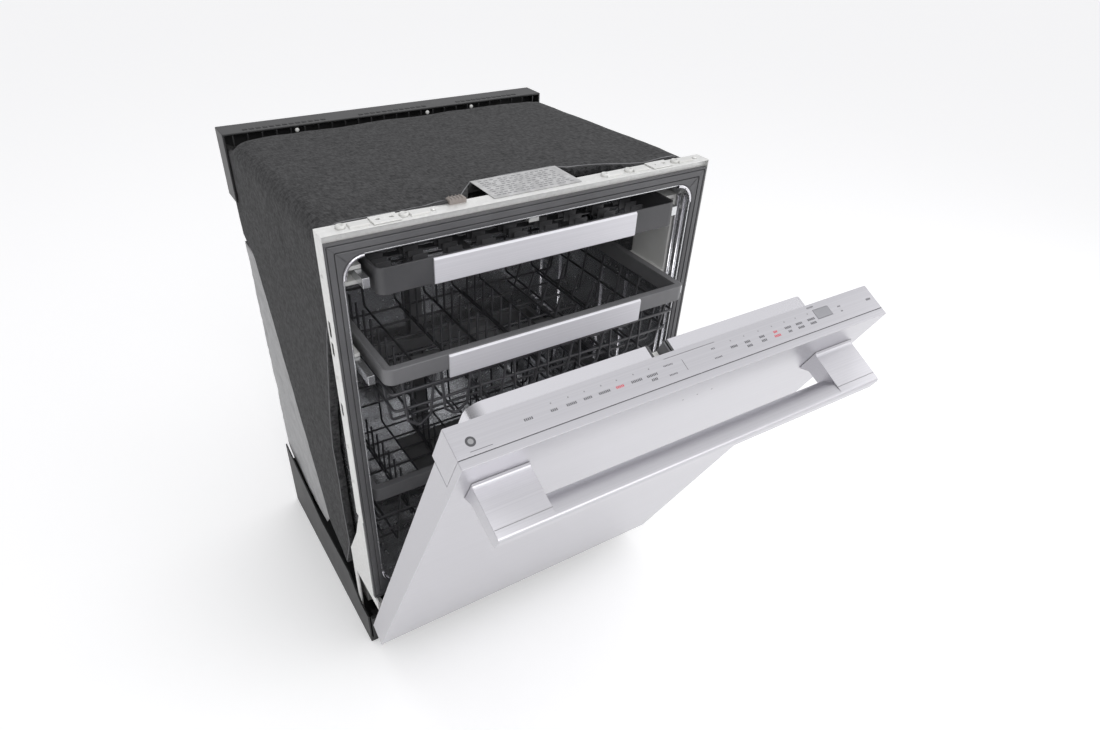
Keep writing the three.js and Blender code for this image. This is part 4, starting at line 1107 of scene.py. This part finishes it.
def shut_box(node):
    """The box of a door node with the door shut, in millimetres."""
    shut = about_hinge(-OPEN)
    corners = [shut @ vertex.co / MM for vertex in frame["nodes"][node].data.vertices]
    low = Vector([min(corner[axis] for corner in corners) for axis in range(3)])
    high = Vector([max(corner[axis] for corner in corners) for axis in range(3)])
    return low, high


def door_scatter(name, part, places, material, turn=(0.0, 0.0, 0.0)):
    """A small part repeated at places on the shut door, then turned open with it."""
    piece = scatter(name, part, places, material, "door", turn)
    turn_open(piece.data)


panel_low, panel_high = shut_box("control_panel")
print("control panel, shut:", [round(v, 1) for v in (*panel_low, *panel_high)])

# %% Printed marks
MARK_Z = panel_high.z
MARK_Y = panel_low.y + 16.5
GLYPH = block_part("glyph", 1.15, 2.9, 0.12, PRINT_EDGE)
SMALL_GLYPH = block_part("small_glyph", 0.9, 1.9, 0.12, PRINT_EDGE)
DARK_LABELS = [  # x, and how many dashes each line of the label has
    (-216, (5,)), (-186, (4,)), (-165, (6,)), (-145, (5,)), (-124, (7,)), (-82, (7,)),
    (-61, (7, 4)), (58, (5,)), (79, (4, 4)), (102, (4, 4)), (145, (5, 3)), (164, (5, 5)),
    (185, (6, 5)), (290, (4,)),
]
RED_LABELS = [(-104, (5,)), (124, (3, 5))]


def dashes(x, y, count, pitch):
    """Places of a row of dashes about a middle."""
    return [(x + (i - (count - 1) / 2) * pitch, y, MARK_Z) for i in range(count)]


def glyphs(labels):
    """Places of all dashes of labels, whose lines stand 5.4 mm apart."""
    places = []
    for x, lines in labels:
        for row, count in enumerate(lines):
            places += dashes(x, MARK_Y - row * 5.4, count, 2.1)
    return places


door_scatter("marks_dark", GLYPH, glyphs(DARK_LABELS), PRINT_INK_AND_GAP_SHADE)
door_scatter("marks_red", GLYPH, glyphs(RED_LABELS), RED_INK)
LIGHT = round_part("light", [(0.9, 0), (0.9, 0.08), (0.5, 0.14)], 10)
lights = [(x, MARK_Y + 8, MARK_Z) for x, _ in DARK_LABELS[1:13] + RED_LABELS]
door_scatter("mark_lights", LIGHT, lights, PALE_INK)
small = []
SMALL_ROWS = [
    (-36, 5, 7), (-36, -7, 6), (30, 6, 3), (30, -6, 6), (238, 4, 3), (238, -3, 2), (195, 15, 6),
]
for x, y, count in SMALL_ROWS:
    small += dashes(x, MARK_Y + y, count, 1.9)
door_scatter("marks_small", SMALL_GLYPH, small, PRINT_INK_AND_GAP_SHADE)
SINGLE_MARKS = [  # name, part, x, distance from the row of labels, material
    ("mark_rules", block_part("rule", 74, 0.5, 0.1, PRINT_EDGE), 0, 13, PRINT_INK_AND_GAP_SHADE),
    ("mark_bracket", block_part("bracket", 0.5, 14, 0.1, PRINT_EDGE), -16, -1, PRINT_INK_AND_GAP_SHADE),
    ("badge_disc", round_part("badge", [(5.4, 0), (5.4, 0.1), (5.0, 0.16)], 28), -281, -2, PRINT_INK_AND_GAP_SHADE),
    ("badge_core", round_part("core", [(3.0, 0), (3.0, 0.2), (2.7, 0.26)], 20), -281, -2, PALE_INK),
    ("badge_rule", block_part("badge_rule_part", 24, 0.5, 0.1, PRINT_EDGE), -274, -12, PRINT_INK_AND_GAP_SHADE),
]
for name, part, x, away, material in SINGLE_MARKS:
    door_scatter(name, part, [(x, MARK_Y + away, MARK_Z)], material)
print(len(small), "small dashes,", len(lights), "lights")

# %% [markdown]
# ### Latch pocket
# The notch in the top of the inner door is lined with a plastic cup, which the strike enters when
# the door shuts. A dark rim stands a little over the steel, and inside it are two ledges and the
# paler floor of the well.

# %% Latch cup
latch_low, latch_high = shut_box("door_latch")
PLUG_TOP = shut_box("door_liner")[1].z
well_front, well_back = latch_low.y + 10.0, latch_high.y
well_middle, well_long = (well_front + well_back) / 2, well_back - well_front
well_z = latch_low.z + 3.0
rim_long = well_back - latch_low.y
rim_side = block_part("rim_side", 2.4, rim_long, 0.7, 0.25)
rim_front = block_part("rim_front", 2 * (latch_high.x + 2.6), 7.0, 0.7, 0.25)
well_floor = block_part("well_floor", 19, well_long - 5, 4.0, 1.2)
ledge = block_part("ledge", 2.2, well_long - 1, 20.0, 0.5)
rim_x, rim_y, ledge_x = latch_high.x + 1.3, (latch_low.y + well_back) / 2, latch_high.x - 1.4
rim_places = [(-rim_x, rim_y, PLUG_TOP), (rim_x, rim_y, PLUG_TOP)]
ledge_places = [(-ledge_x, well_middle, well_z), (ledge_x, well_middle, well_z)]
LATCH_PIECES = [
    ("latch_rim_sides", rim_side, rim_places, DARK_PP),
    ("latch_rim_front", rim_front, [(0, latch_low.y + 4.0, PLUG_TOP)], DARK_PP),
    ("latch_well_floor", well_floor, [(0, well_middle, well_z)], PALE_POM),
    ("latch_ledges", ledge, ledge_places, GREY_PP),
]
for name, part, places, material in LATCH_PIECES:
    door_scatter(name, part, places, material)
print("latch well is", round(well_long, 1), "mm long")

# %% Status dots, and painted shade in the gap under the control panel
face_low, _ = shut_box("outer_panel")
DOT_Z = 817
dots = [(x, face_low.y, DOT_Z) for x in (-15.0, 6.5, 28.5)]
door_scatter("status_dots", LIGHT, dots, PRINT_INK_AND_GAP_SHADE, (math.pi / 2, 0.0, 0.0))
# a thin dark strip on the panel's front edge is painted shade in the gap between the control panel and the door's
# face
line = block_part("gap", panel_high.x * 2 - 2, 0.9, 0.12, PRINT_EDGE)
door_scatter("panel_gap", line, [(0, panel_low.y - 0.1, MARK_Z - 0.05)], PRINT_INK_AND_GAP_SHADE)

# %% Seams on the handle
handle_low, handle_high = shut_box("handle")
ARM = 68.0  # the width of each end of the handle
seam_y, seam_z = handle_low.y + 12, handle_high.z - 3.6
seams = []
for side in (-1, 1):
    x_out, x_in = side * (handle_high.x - 1), side * (handle_high.x - ARM)
    seams.append([(x_out, seam_y, seam_z), (x_in, seam_y, seam_z)])
made = wires("handle_seams", seams, PALE_INK, "door", 0.35, 0.5, 6)
turn_open(made.data)

# %% [markdown]
# ## Close
# The visual model's box is set beside the CAD model's box, and how far each corner moves is printed.
# The visual model may not outgrow the CAD model.

# %% Sizes and finish
sizes = {"cad": [list(corner) for corner in cad_box], "visual": [list(corner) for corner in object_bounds()]}
for side, one, two in zip(("low", "high"), sizes["cad"], sizes["visual"]):
    print(side, "corner moves by", [round((b - a) / MM, 1) for a, b in zip(one, two)], "mm")
